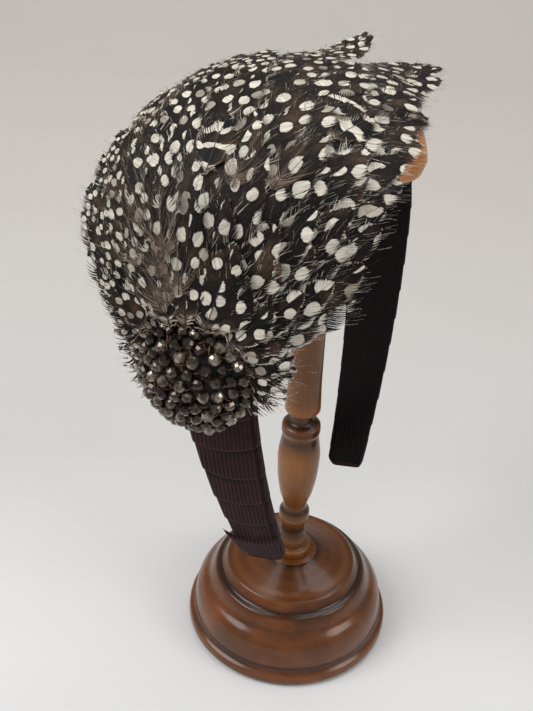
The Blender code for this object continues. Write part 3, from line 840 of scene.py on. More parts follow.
def lay_plume(parts, spec, settings, seed, dot_scale):
    """Adds one feather's barbs and shaft to parts, lying on the pad at its layer."""
    rng = np.random.default_rng(seed)
    length = spec["end"] - spec["start"] - VANE_SHORTER
    half = 0.5 * spec["width"] * VANE_SHARE
    down = spec.get("down", DOWNY_BASE)
    barred = spec.get("barred", 0.0)
    tuft_of_down = down > 0.5
    spacing = settings.barb_spacing / MM * (DOWN_CLOSENESS if tuft_of_down else 1.0)
    count = max(14, int(length / spacing))
    total = count + int(count * settings.looseness * min(1.0, length / 16.0))
    pale = float(np.interp(math.degrees(spec["angle"]), [-70.0, -15.0, 50.0, 90.0], [0.52, 0.0, 0.0, 0.48]))
    hair = np.arange(total) >= count
    ct, cv = math.cos(spec["angle"]), math.sin(spec["angle"])
    twist = rng.normal(0.0, 0.05)
    arch = 0.35 + 0.15 * rng.random()

    def place(x, along, rise):
        """Pad position of a point of the feather, then its place in the world."""
        share = np.clip(along / length, 0.0, 1.15)
        x = x + half * 1.6 * twist * share * (1.0 - share)
        distance = spec["start"] + along
        dt = ct * distance - cv * x
        dv = cv * distance + ct * x
        low = layer_height(dt, dv, spec["level"]) + 0.5 * FEATHER_THICKNESS
        low = low + spec["lift"] * np.maximum(0.0, (share - 0.5) / 0.5) ** 2
        low = low + arch * (0.6 - np.minimum(1.5, (x / max(half, 1.0)) ** 2)) + 0.25 * share
        return on_band(BEAD_CENTRE[0] + dt, BEAD_CENTRE[1] + dv, low + rise)

    stations = np.array([0.0, 0.25, 0.5, 0.72, 0.88, 1.0])
    q = stations[None, :]
    for side in (-1.0, 1.0):
        root = np.where(hair, rng.uniform(0.38, 0.98, total), (np.arange(total) + 0.5) / count)
        random = rng.random(total)
        slant = (0.95 + 0.25 * rng.random()) * (DOWN_SLANT if tuft_of_down else 1.0)
        reach = np.minimum(1.0, root + 0.12)
        end = root + slant * half * outline(reach, spec["point"]) / length * (0.62 + 0.5 * root)
        width = half * outline(np.minimum(1.0, end), spec["point"])
        width = width * (1.0 + 0.02 * rng.normal(size=total))
        over = np.maximum(0.0, end - 1.0)
        end = np.minimum(end, 1.0) + 0.35 * over
        width = width * np.maximum(0.15, 1.0 - 6.0 * over)
        # Some barbs are loose hairs that stand out past the vane.
        longer = np.where(hair, settings.fringe / MM * (0.15 + 0.85 * rng.random(total) ** 1.6), 0.0)
        # Barbs cling in tufts, which opens narrow splits at the vane's edge.
        tuft = np.zeros(total)
        raised = np.where(hair, rng.uniform(0.05, 0.6, total), 0.0)
        at = 0
        while at < count:
            size = int(rng.integers(*CLINGING_BARBS))
            members = np.arange(at, min(count, at + size))
            tuft[members] = (members - members.mean()) * rng.uniform(0.0, 0.45)
            raised[members] = rng.uniform(0.0, 0.28)
            at += size
        fluffy = np.clip((down - root) / max(down, 0.01) * 2.0, 0.0, 1.0)
        bend = np.sin(q * 1.35) / math.sin(1.35)
        x = width[:, None] * bend
        along = length * (root[:, None] + (end - root)[:, None] * q ** 1.3)
        sway = longer[:, None] * rng.normal(0.0, 0.22, (total, 1))
        x = x + (0.45 * longer[:, None] - sway) * q ** 3
        along = along + (0.95 * longer[:, None] + sway) * q ** 3
        loose = np.maximum(0.0, q - 0.6)
        along = along - tuft[:, None] * spacing * loose * 1.6
        along = along + rng.normal(0.0, 0.7, (total, 1)) * loose ** 2 * (1.0 + 4.0 * fluffy[:, None])
        along = along + fluffy[:, None] * 0.25 * np.sin(7.0 * q + 6.3 * random[:, None]) * q
        along = along + fluffy[:, None] * rng.normal(0.0, 1.0, (total, 1)) * q ** 1.5
        x = x * (1.0 + 0.22 * fluffy[:, None] * rng.normal(size=(total, 1)) * q)
        rise = raised[:, None] * q ** 2 + 0.08 * rng.random((total, 1)) * loose
        rise = rise + 0.7 * hair[:, None] * q ** 3 * rng.random((total, 1))
        rise = rise + fluffy[:, None] * 0.9 * q * rng.random((total, 1)) + 0.01 * random[:, None]
        # Each barb is as wide as its share of the shaft until its free end.
        dx = np.gradient(x, axis=1)
        da = np.gradient(along, axis=1)
        run = np.hypot(dx, da)
        across = spacing * 0.60 * dx / run
        taper = np.interp(stations, [0.0, 0.84, 1.0], [1.0, 1.0, 0.16])[None, :]
        taper = taper * (1.0 - 0.55 * fluffy[:, None])
        taper = np.where(hair[:, None], HAIR_SHARE * (1.0 - 0.55 * q), taper)
        reach_x, reach_a = -da / run * across * taper, dx / run * across * taper
        left = place(side * (x + reach_x), along + reach_a, rise)
        right = place(side * (x - reach_x), along - reach_a, rise)
        jitter = 0.08 * rng.normal(size=(total, 1))
        pair_x = np.stack([x + reach_x, x - reach_x], -1)
        pair_a = np.stack([along + reach_a, along - reach_a], -1)
        maps = {"OFBake": np.stack([
            0.48 + 0.44 * side * pair_x / (half * 1.7 + 4.0),
            0.03 + 0.94 * pair_a / (length * 1.12 + 5.0)], -1)}
        # One side of the shaft starts some whole dots further on, so the two differ.
        aside = 6.08 * (settings.dot_spacing / MM) / 4.3 * (4.0 if side > 0.0 else 0.0)
        mark_x = (pair_x + 1.0) / dot_scale + aside
        mark_y = (pair_a * 0.80 + jitter[..., None]) / dot_scale + PATTERN_STEP * (seed % PATTERN_PLACES)
        maps["plume_mm"] = np.stack([mark_x, mark_y], -1)
        shade = np.minimum(1.0, pale + np.where(hair, 0.46 + 0.54 * random, 0.85 * random))
        free = np.where(hair[:, None], 0.45 + 0.55 * q, np.minimum(1.0, q * (1.0 + 0.45 * pale)))
        maps["strand"] = np.stack([
            np.broadcast_to(shade[:, None, None], pair_x.shape),
            np.broadcast_to(free[..., None], pair_x.shape)], -1)
        soft = np.broadcast_to((0.9 if tuft_of_down else 0.6) * fluffy[:, None, None], pair_x.shape)
        maps["tone"] = np.stack([soft, np.full(pair_x.shape, barred)], -1)
        parts.strips(left, right, maps, 0)

    shaft = np.linspace(0.0, 1.0, SHAFT_RINGS)
    thick = SHAFT_RADIUS * (1.0 - 0.85 * shaft)
    for turn in range(4):
        a, b = 0.5 * math.pi * turn, 0.5 * math.pi * (turn + 1)
        left = place(thick * math.cos(a), length * shaft, 0.05 + thick * math.sin(a))[None]
        right = place(thick * math.cos(b), length * shaft, 0.05 + thick * math.sin(b))[None]
        blank = np.zeros((1, SHAFT_RINGS, 2, 2))
        bake = np.stack([
            np.broadcast_to(np.array([0.955, 0.96]) + 0.008 * turn, (SHAFT_RINGS, 2)),
            np.broadcast_to(0.05 + 0.9 * shaft[:, None], (SHAFT_RINGS, 2))], -1)[None]
        parts.strips(left, right, {"OFBake": bake, "plume_mm": blank, "strand": blank, "tone": blank}, 1)


def glass_bead_mesh(work, centre, radius, turn, layer, shade):
    """One fire-polished bead: bands of flat facets round the hole's axis."""
    made = bmesh.ops.create_uvsphere(work, u_segments=8, v_segments=6, radius=radius * MM)
    bmesh.ops.scale(work, verts=made["verts"], vec=(1.0, 1.0, 0.9))
    bmesh.ops.transform(work, verts=made["verts"], matrix=Matrix.Translation(Vector(centre)) @ turn)
    for face in {f for v in made["verts"] for f in v.link_faces}:
        for loop in face.loops:
            loop[layer].uv = (shade, 0.0)


def bead_material(settings):
    """Fire-polished glass bead: smoky glass with a half-mirror coat, pressed and tumbled."""
    # The coat gives sharp white glints and brown-grey facets.
    made, tree = new_material("smoky glass bead, fire-polished")
    strand = add(tree, "ShaderNodeUVMap", {"uv_map": "strand"})
    pick = add(tree, "ShaderNodeSeparateXYZ", None, {0: strand})
    place = add(tree, "ShaderNodeTexCoord").outputs["Object"]
    cloud = add(tree, "ShaderNodeTexNoise", {"Scale": 550.0, "Detail": 2.0}, {"Vector": place})
    mixed = add(tree, "ShaderNodeMath", {"operation": "MULTIPLY_ADD", 1: 0.5},
                {0: pick, 2: cloud})
    # The ramp's dark red start paints the reflection of a red lamp on a few beads, and its pale end is partly painted
    # highlight.
    shade = add(tree, "ShaderNodeValToRGB",
                {"stops": [(0.40, "#3d0f10"), (0.46, "#120a06"), (0.62, "#2b1d14"),
                           (0.84, (*settings.coat, 1.0)), (1.0, "#8f8578")]},
                {"Fac": mixed})
    shader = add(tree, "ShaderNodeBsdfPrincipled",
                 {"Metallic": 0.6, "Roughness": 0.06, "IOR": 1.5, "Coat Weight": 0.5, "Coat Roughness": 0.01},
                 {"Base Color": shade})
    return finish_material(made, shader)


def thread_material():
    """Copper-brown sewing thread, twisted polyester."""
    made, tree = new_material("copper-brown thread, twisted")
    place = add(tree, "ShaderNodeTexCoord").outputs["Object"]
    grain = add(tree, "ShaderNodeTexNoise", {"Scale": 2500.0, "Detail": 1.0}, {"Vector": place})
    shade = add(tree, "ShaderNodeValToRGB",
                {"stops": [(0.35, "#3a2214"), (0.65, "#7d5233")]},
                {"Fac": grain})
    return finish_material(made, add(tree, "ShaderNodeBsdfPrincipled", {"Roughness": 0.5},
                                     {"Base Color": shade}))


def felt_material():
    """Black wool felt, pressed: fibres give it a dull, slightly fuzzy face."""
    made, tree = new_material("black wool felt, pressed")
    place = add(tree, "ShaderNodeTexCoord").outputs["Object"]
    fibre = add(tree, "ShaderNodeTexNoise", {"Scale": 2400.0, "Detail": 5.0, "Roughness": 0.7},
                {"Vector": place})
    shade = add(tree, "ShaderNodeValToRGB",
                {"stops": [(0.30, "#0b0a0a"), (0.70, "#2b2727")]},
                {"Fac": fibre})
    bump = add(tree, "ShaderNodeBump", {"Strength": 0.8, "Distance": 0.00025}, {"Height": fibre})
    shader = add(tree, "ShaderNodeBsdfPrincipled",
                 {"Roughness": 0.95, "Sheen Weight": 0.35, "Sheen Roughness": 0.6,
                  "Specular IOR Level": 0.15},
                 {"Base Color": shade, "Normal": bump})
    return finish_material(made, shader)


def ribbon_material(settings):
    """Grosgrain ribbon: rayon warp over a thick cotton weft, woven in ribs."""
    # The ribs catch light along their crowns and leave dark furrows between.
    made, tree = new_material("grosgrain ribbon, woven")
    cloth = add(tree, "ShaderNodeUVMap", {"uv_map": "ribbon_mm"})
    # The fold map's x holds painted shadow, and below nought the painted lip highlight; its y marks the inner face for
    # painted shade.
    fold = add(tree, "ShaderNodeUVMap", {"uv_map": "fold"})
    painted_light_map = add(tree, "ShaderNodeSeparateXYZ", None, {0: fold})
    rib = add(tree, "ShaderNodeTexWave",
              {"wave_type": "BANDS", "bands_direction": "X", "wave_profile": "SIN",
               "Scale": 0.314 / (settings.rib_spacing / MM), "Distortion": 0.35, "Detail": 1.0},
              {"Vector": cloth})
    warp = add(tree, "ShaderNodeTexWave",
               {"wave_type": "BANDS", "bands_direction": "Y", "wave_profile": "SIN", "Scale": 0.314 / 0.3,
                "Distortion": 0.8},
               {"Vector": cloth})
    relief = add(tree, "ShaderNodeMath", {"operation": "MULTIPLY_ADD", 1: 0.12},
                 {0: warp.outputs[1], 2: rib.outputs[1]})
    furrow = add(tree, "ShaderNodeMapRange",
                 {"From Min": 0.0, "From Max": 0.6, "To Min": 0.55, "To Max": 1.10},
                 {"Value": rib.outputs[1]})
    patch = add(tree, "ShaderNodeTexNoise", {"Scale": 0.12, "Detail": 3.0}, {"Vector": cloth})
    shade = add(tree, "ShaderNodeValToRGB",
                {"stops": [(0.3, (*settings.colour, 1.0)), (0.75, "#3b2224")]},
                {"Fac": patch})
    dyed = add(tree, "ShaderNodeMix", {**MULTIPLY, 0: 1.0},
               {6: shade, 7: furrow})
    # Painted shadow darkens the turn below each turn's lower edge, a painted highlight lightens that edge's lip, and
    # painted shade darkens the band's inner face.
    painted_lip_highlight = add(tree, "ShaderNodeMapRange", {"From Min": 0.0, "From Max": -1.0, "To Max": 0.22},
              {"Value": painted_light_map})
    painted_lip_mixed = add(tree, "ShaderNodeMix", {"data_type": "RGBA", 7: hex_colour("#6b4c4f")},
                {0: painted_lip_highlight, 6: dyed.outputs[2]})
    painted_shadow_mixed = add(tree, "ShaderNodeMix",
                  {**MULTIPLY, 7: hex_colour("#120d0e")},
                  {0: painted_light_map, 6: painted_lip_mixed.outputs[2]})
    painted_inner_shade = add(tree, "ShaderNodeMix", {**MULTIPLY, 7: hex_colour("#4a4244")},
                {0: painted_light_map.outputs[1], 6: painted_shadow_mixed.outputs[2]})
    bump = add(tree, "ShaderNodeBump", {"Strength": 1.0, "Distance": 0.00022}, {"Height": relief})
    shader = add(tree, "ShaderNodeBsdfPrincipled",
                 {"Roughness": 0.62, "Specular IOR Level": 0.10},
                 {"Base Color": painted_inner_shade.outputs[2], "Normal": bump})
    return finish_material(made, shader)


def wood_material(name, stops, grain_axis, roughness):
    """Turned beech: stain rubbed in, then satin lacquer."""
    # Stain gathers in the grooves and along the grain, and the grooves also take painted shade; raised edges are
    # lighter, partly wear and partly painted highlight; lacquer gives a broad soft shine.
    made, tree = new_material(name)
    place = add(tree, "ShaderNodeTexCoord").outputs["Object"]
    stretch = {"X": (50.0, 900.0, 900.0), "Z": (900.0, 900.0, 45.0)}[grain_axis]
    long_grain = add(tree, "ShaderNodeMapping", {"Scale": stretch}, {"Vector": place})
    grain = add(tree, "ShaderNodeTexNoise",
                {"Scale": 1.0, "Detail": 6.0, "Roughness": 0.62, "Distortion": 0.4},
                {"Vector": long_grain})
    pores = add(tree, "ShaderNodeTexNoise", {"Scale": 3.4, "Detail": 3.0, "Roughness": 0.7},
                {"Vector": long_grain})
    blotch = add(tree, "ShaderNodeTexNoise", {"Scale": 70.0, "Detail": 2.0}, {"Vector": place})
    mixed = add(tree, "ShaderNodeMath", {"operation": "MULTIPLY_ADD", 1: 0.45},
                {0: grain, 2: blotch})
    shade = add(tree, "ShaderNodeValToRGB", {"stops": stops}, {"Fac": mixed})
    specks = add(tree, "ShaderNodeMapRange",
                 {"From Min": 0.34, "From Max": 0.48, "To Min": 0.88, "To Max": 1.0},
                 {"Value": pores})
    flecked = add(tree, "ShaderNodeMix", {**MULTIPLY, 0: 1.0},
                  {6: shade, 7: specks})
    turned = add(tree, "ShaderNodeSeparateXYZ", None,
                 {0: add(tree, "ShaderNodeUVMap", {"uv_map": "turning"})})
    painted_shade_and_stain = add(tree, "ShaderNodeMix", {**MULTIPLY, 7: hex_colour("#3e2a22")},
                   {0: turned, 6: flecked.outputs[2]})
    wear_and_painted_highlight = add(tree, "ShaderNodeMix", {"data_type": "RGBA", "blend_type": "SCREEN", 7: hex_colour("#6a3d1a")},
               {0: turned.outputs[1], 6: painted_shade_and_stain.outputs[2]})
    bump = add(tree, "ShaderNodeBump", {"Strength": 0.25, "Distance": 0.00008}, {"Height": pores})
    shader = add(tree, "ShaderNodeBsdfPrincipled",
                 {"Roughness": roughness, "Coat Weight": 0.35, "Coat Roughness": 0.12,
                  "Specular IOR Level": 0.25},
                 {"Base Color": wear_and_painted_highlight.outputs[2], "Normal": bump})
    return finish_material(made, shader)


def smooth_profile(profile, steps):
    """A finer profile through the points, kept from overshooting."""
    points = np.array(profile)
    run = np.concatenate([[0.0], np.cumsum(np.linalg.norm(np.diff(points, axis=0), axis=1))])
    slopes = np.gradient(points, run, axis=0)
    for i in range(1, len(points) - 1):
        before = (points[i] - points[i - 1]) / (run[i] - run[i - 1])
        after = (points[i + 1] - points[i]) / (run[i + 1] - run[i])
        flat = before * after <= 0.0
        slopes[i] = np.where(flat, 0.0, 2.0 * before * after / np.where(flat, 1.0, before + after))
    fine = []
    for i in range(len(points) - 1):
        width = run[i + 1] - run[i]
        for k in range(steps):
            s = k / steps
            a = (1.0 + 2.0 * s) * (1.0 - s) ** 2
            b = s * (1.0 - s) ** 2
            c = s * s * (3.0 - 2.0 * s)
            d = s * s * (s - 1.0)
            fine.append(a * points[i] + b * width * slopes[i] + c * points[i + 1] + d * width * slopes[i + 1])
    fine.append(points[-1])
    return np.array(fine)


def turned_piece(name, profile, segments, material, stain):
    """A turned solid with a map of stain and painted shade in its grooves, and of wear and painted highlight on its
    raised edges.
    """
    fine = smooth_profile(profile, PROFILE_STEPS)
    radius = fine[:, 0]
    # Compared with its own running mean, the profile tells grooves from worn edges: grooves take stain and painted
    # shade, and raised edges take wear and painted highlight.
    blur = np.convolve(np.pad(radius, 6, mode="edge"), np.ones(13) / 13.0, mode="valid")
    stain_and_painted_shade = np.clip((blur - radius) / 1.6, 0.0, 1.0)
    # The table adds bands of stain and painted shade at given heights.
    stain_and_painted_shade = np.maximum(stain_and_painted_shade, np.interp(fine[:, 1], *zip(*stain)))
    wear_and_painted_highlight = np.clip((radius - blur) / 0.6, 0.0, 1.0) * 0.7
    turns = 2.0 * math.pi * np.arange(segments) / segments
    work = bmesh.new()
    layer = work.loops.layers.uv.new("turning")
    rings = []
    for size, height in fine:
        ring = np.stack([size * np.cos(turns), size * np.sin(turns), np.full(segments, height)], -1)
        rings.append([work.verts.new(p) for p in ring * MM])
    for row in range(len(rings) - 1):
        for face in bridge(work, rings[row], rings[row + 1]):
            for loop, level in zip(face.loops, (row, row, row + 1, row + 1)):
                loop[layer].uv = (stain_and_painted_shade[level], wear_and_painted_highlight[level])
    work.faces.new(rings[0][::-1])
    work.faces.new(rings[-1])
    bmesh.ops.recalc_face_normals(work, faces=work.faces)
    return solid(name, work, [material], TURNED_SHARP)


def head_piece(name, material):
    """The rounded block: its own plan and crown, with an eased lower edge."""
    low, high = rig.box("stand_head")
    height = (high[2] - low[2]) / MM
    around = 96
    turns = 2.0 * math.pi * np.arange(around) / around
    c, s = np.cos(turns), np.sin(turns)
    power_x, power_y = HEAD_PLAN_POWERS
    # Repeated division brings every direction out to the plan's edge.
    size = np.ones(around)
    for _ in range(40):
        size = size / (np.abs(size * c) ** power_x + np.abs(size * s) ** power_y) ** 0.36
    work = bmesh.new()
    # The map of stain, painted shade, wear and painted highlight stays at nought, since the block has neither grooves
    # nor edges.
    work.loops.layers.uv.new("turning")
    rings = [(0.60, 0.0), (0.90, 0.0), (0.93, 0.15), (0.955, 0.8)]
    rings += [(math.sin(a), -1.0) for a in np.linspace(1.45, 0.06, 26)]
    verts = []
    for share, lift in rings:
        x, y = size * c * share, size * s * share
        inside = np.clip(1.0 - np.abs(x) ** power_x - np.abs(y) ** power_y, 0.0, 1.0)
        z = HEAD_BOTTOM + (lift if lift >= 0.0 else height * inside ** HEAD_CROWN_POWER)
        x, y = x * HEAD_HALF_LENGTH, y * HEAD_HALF_DEPTH
        points = np.stack([
            x * math.cos(HEAD_TURN) - y * math.sin(HEAD_TURN),
            x * math.sin(HEAD_TURN) + y * math.cos(HEAD_TURN),
            np.broadcast_to(z, (around,))], -1) * MM
        verts.append([work.verts.new(p) for p in points])
    for lower, upper in zip(verts, verts[1:]):
        bridge(work, lower, upper)
    work.faces.new(verts[0][::-1])
    work.faces.new(verts[-1])
    bmesh.ops.recalc_face_normals(work, faces=work.faces)
    return solid(name, work, [material], ROUNDED_SHARP)


def own(piece, slot, *nodes):
    """Joins a piece to the model: its body, its material slot and what it stands for."""
    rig.ride(piece, "root")
    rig.slot(piece, slot)
    if nodes:
        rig.replaces(piece, *nodes)
    return piece


class HEADBAND_OT_turned_stand(bpy.types.Operator):
    """Builds the turned foot, the column and the head of the stand."""

    bl_idname = "headband.turned_stand"
    bl_label = "Turned Stand"

    def execute(self, context):
        settings = context.scene.headband_stand
        dark = wood_material(
            "beech, walnut stained and lacquered",
            [(0.36, "#3a1d0c"), (0.72, (*settings.stain, 1.0)), (1.0, "#7a431a")],
            "X", 0.24)
        light = wood_material(
            "beech, oak stained and lacquered",
            [(0.36, "#4f2c10"), (0.72, "#714318"), (1.0, "#895722")],
            "Z", 0.36)
        warm = wood_material(
            "beech, honey stained and lacquered",
            [(0.36, "#6b3a14"), (0.72, "#96581f"), (1.0, "#bd7d3c")],
            "X", 0.36)
        foot = turned_piece("turned_foot", BASE_PROFILE, settings.segments, dark, BASE_STAIN_AND_SHADE)
        own(foot, "base_wood", "stand_base")
        column = turned_piece("turned_column", COLUMN_PROFILE, settings.segments // 2, light, COLUMN_STAIN_AND_SHADE)
        own(column, "column_wood", "stand_column")
        own(head_piece("rounded_head", warm), "head_wood", "stand_head")
        return {"FINISHED"}


def ring_section(half, low, high, fine):
    """Rounded rectangle round the band's section, as points (v, h)."""
    corner = 0.48 * (high - low)
    mid, reach = 0.5 * (high + low), 0.5 * (high - low)
    flat = half - corner
    points = []
    for end, count, height, start in ((flat, fine, high, 90.0), (-flat, fine // 2, low, -90.0)):
        points += [(v, height) for v in np.linspace(-end, end, count)]
        for a in np.linspace(start, start - 180.0, 7)[1:-1]:
            turn = math.radians(a)
            points.append((end + corner * math.cos(turn), mid + reach * math.sin(turn)))
    return np.array(points)


class HEADBAND_OT_wrapped_band(bpy.types.Operator):
    """Builds the band with its overlapping turns of ribbon and its folded ends."""

    bl_idname = "headband.wrapped_band"
    bl_label = "Wrapped Band"

    def execute(self, context):
        settings = context.scene.headband_ribbon
        cloth = ribbon_material(settings)
        work = bmesh.new()
        layer = work.loops.layers.uv.new("ribbon_mm")
        painted_light_map = work.loops.layers.uv.new("fold")
        rings, cloth_map, painted_light_rows = [], [], []
        for t, shift, lean, swell, near, painted_shadow_and_lip in self.stations(settings.step / MM):
            half = band_half(min(max(t, 0.0), BAND_LENGTH)) + 0.35 * swell
            end = min(t, BAND_LENGTH - t)
            half -= 1.3 * max(0.0, 1.0 - end / 1.6) ** 2
            section = ring_section(
                half, -0.5 * BAND_THICKNESS, 0.5 * BAND_THICKNESS - 0.35 + swell, SECTION_POINTS)
            share = section[:, 0] / half
            bow = WRAP_BOW * (1.0 - share ** 2) * (-1.0 if near else 1.0) + shift + lean * share
            along = np.clip(t + bow, 0.0, BAND_LENGTH)
            rings.append([work.verts.new(p * MM) for p in on_band(along, section[:, 0], section[:, 1])])
            edge = np.concatenate([[0.0], np.cumsum(np.linalg.norm(np.diff(section, axis=0), axis=1))])
            cloth_map.append(np.stack([edge + 0.25 * shift + 30.0, along], -1))
            # Painted shadow and lip highlight go on the outer face, and the inner face is marked for painted shade.
            outside = section[:, 1] > 0.0
            painted_light_rows.append(np.stack([painted_shadow_and_lip * outside, 1.0 - outside], -1))
        around = len(rings[0])
        seam = np.array([cloth_map[0][-1][0] - cloth_map[0][0][0] + 0.5, 0.0])
        for row in range(len(rings) - 1):
            for i, face in enumerate(bridge(work, rings[row], rings[row + 1])):
                j = (i + 1) % around
                corners = ((row, i), (row, j), (row + 1, j), (row + 1, i))
                for loop, (r, c) in zip(face.loops, corners):
                    loop[layer].uv = cloth_map[r][c] + (seam if c == 0 and j == 0 else 0.0)
                    loop[painted_light_map].uv = painted_light_rows[r][c]
        work.faces.new(rings[0][::-1])
        work.faces.new(rings[-1])
        bmesh.ops.recalc_face_normals(work, faces=work.faces)
        own(solid("grosgrain_wrapping", work, [cloth], ROUNDED_SHARP), "ribbon", "ribbon_wrapped_band")
        low, high, lean = BEADED_LEG_FOLD
        self.fold("folded_end_beaded_leg", low, high, lean, BEADED_LEG_BOW, cloth, "ribbon_end_beaded_leg")
        low, high, lean = PLAIN_LEG_FOLD
        self.fold("folded_end_plain_leg", BAND_LENGTH - low, BAND_LENGTH - high, lean, PLAIN_LEG_BOW, cloth,
                  "ribbon_end_plain_leg")
        return {"FINISHED"}

    def stations(self, step):
        """Rings along the band: place, the turn's shift and lean, rise, leg, and painted shadow and lip highlight."""
        rng = np.random.default_rng(WRAP_SEED)
        rows = []
        for k in range(int(BAND_LENGTH / WRAP_PITCH) + 1):
            start = k * WRAP_PITCH
            wide = min(WRAP_PITCH, BAND_LENGTH - start)
            if wide < 0.5:
                break
            shift = rng.normal(0.0, 0.18)
            lean = rng.normal(0.0, 0.25)
            near = start < 0.5 * BAND_LENGTH
            for share in WRAP_STATIONS:
                fade = 1.0 - share if near else share
                swell = step * fade ** 0.8
                if (near and share == 0.0) or (not near and share > 0.99):
                    swell *= 0.75
                # Painted shadow under the turn above, and below nought a painted highlight on this turn's lip.
                painted_shadow_and_lip = max(0.0, 1.0 - fade / 0.16) - max(0.0, (fade - 0.90) / 0.10)
                rows.append((start + share * wide, shift, lean, swell, near, painted_shadow_and_lip))
        return rows

    def fold(self, name, t_low, t_high, lean, bow, cloth, node):
        """A folded ribbon end: a soft double layer with a rolled edge."""
        low = 0.5 * BAND_THICKNESS + 0.12
        rows, columns = 14, 22
        work = bmesh.new()
        layer = work.loops.layers.uv.new("ribbon_mm")
        grid, places = {}, {}
        for side, lift in ((0, 0.0), (1, 0.62)):
            for r in range(rows):
                share = r / (rows - 1)
                t = t_low + share * (t_high - t_low)
                half = band_half(t) - 0.3
                for c in range(columns):
                    across = c / (columns - 1)
                    v = -half + across * (2.0 * half + lean * share)
                    edge = min(share, 1.0 - share, across, 1.0 - across)
                    puff = lift * min(1.0, edge / 0.08) ** 0.5 + 0.06 * math.sin(5.0 * across + 3.0 * share)
                    sag = bow * (1.0 - (2.0 * across - 1.0) ** 2)
                    along = min(max(t - sag * share, 0.2), BAND_LENGTH - 0.2)
                    vert = work.verts.new(on_band(along, v, low + puff) * MM)
                    grid[side, r, c] = vert
                    places[vert] = (v, t)
        plate(work, grid, rows, columns)
        for face in work.faces:
            for loop in face.loops:
                loop[layer].uv = places[loop.vert]
        own(solid(name, work, [cloth], ROUNDED_SHARP), "ribbon", node)


class HEADBAND_OT_felt_lining(bpy.types.Operator):
    """Builds the felt oval under the feathers."""

    bl_idname = "headband.felt_lining"
    bl_label = "Felt Lining"

    def execute(self, context):
        rows, columns = 64, 33
        mid = 0.5 * (LINING_HIGH + LINING_LOW)
        work = bmesh.new()
        grid = {}
        for side in (0, 1):
            for r in range(rows):
                angle = math.pi * (r + 0.4) / (rows - 0.2)
                along = -math.cos(angle)
                t = PAD_CENTRE[0] + LINING_SHIFT + along * PAD_RADII[0] * LINING_SHRINK
                half = math.sin(angle) * PAD_RADII[1] * LINING_SHRINK
                for c in range(columns):
                    share = 2.0 * c / (columns - 1) - 1.0
                    rim = max(abs(share), abs(along))
                    thin = 0.5 * (LINING_HIGH - LINING_LOW) * max(0.25, 1.0 - rim ** 12)
                    h = mid + thin * (1.0 if side else -1.0)
                    v = PAD_CENTRE[1] + share * half * float(swelling(along, share > 0.0))
                    grid[side, r, c] = work.verts.new(on_band(t, v, h) * MM)
        plate(work, grid, rows, columns)
        own(solid("felt_backing", work, [felt_material()]), "felt", "felt_lining")
        return {"FINISHED"}


class HEADBAND_OT_plumes(bpy.types.Operator):
    """Lays every feather of the pad, barb by barb, with loose down between."""

    bl_idname = "headband.plumes"
    bl_label = "Feathers"

    def execute(self, context):
        settings = context.scene.headband_plumes
        materials = [plume_material(settings), quill_material()]
        plan = feather_plan()
        for number, spec in enumerate(plan):
            parts = MeshParts()
            lay_plume(parts, spec, settings, NODE_PLUME_SEED + number, dot_size(spec))
            own(parts.build(spec["node"].replace("feather", "plume"), materials), "feather", spec["node"])
        covers = cover_plan(plan)
        for row, label in enumerate(("outer", "second", "third", "fourth", "beadside")):
            parts = MeshParts()
            for number, spec in enumerate(covers):
                if spec["row"] == row:
                    lay_plume(parts, spec, settings, COVER_PLUME_SEED + number, dot_size(spec))
            own(parts.build(f"{label}_row_cover_plumes", materials), "feather")
        parts = MeshParts()
        for number, spec in enumerate(filling_plan()):
            lay_plume(parts, spec, settings, FILLING_PLUME_SEED + number, dot_size(spec))
        own(parts.build("filling_plumes_and_down", materials), "feather")
        return {"FINISHED"}


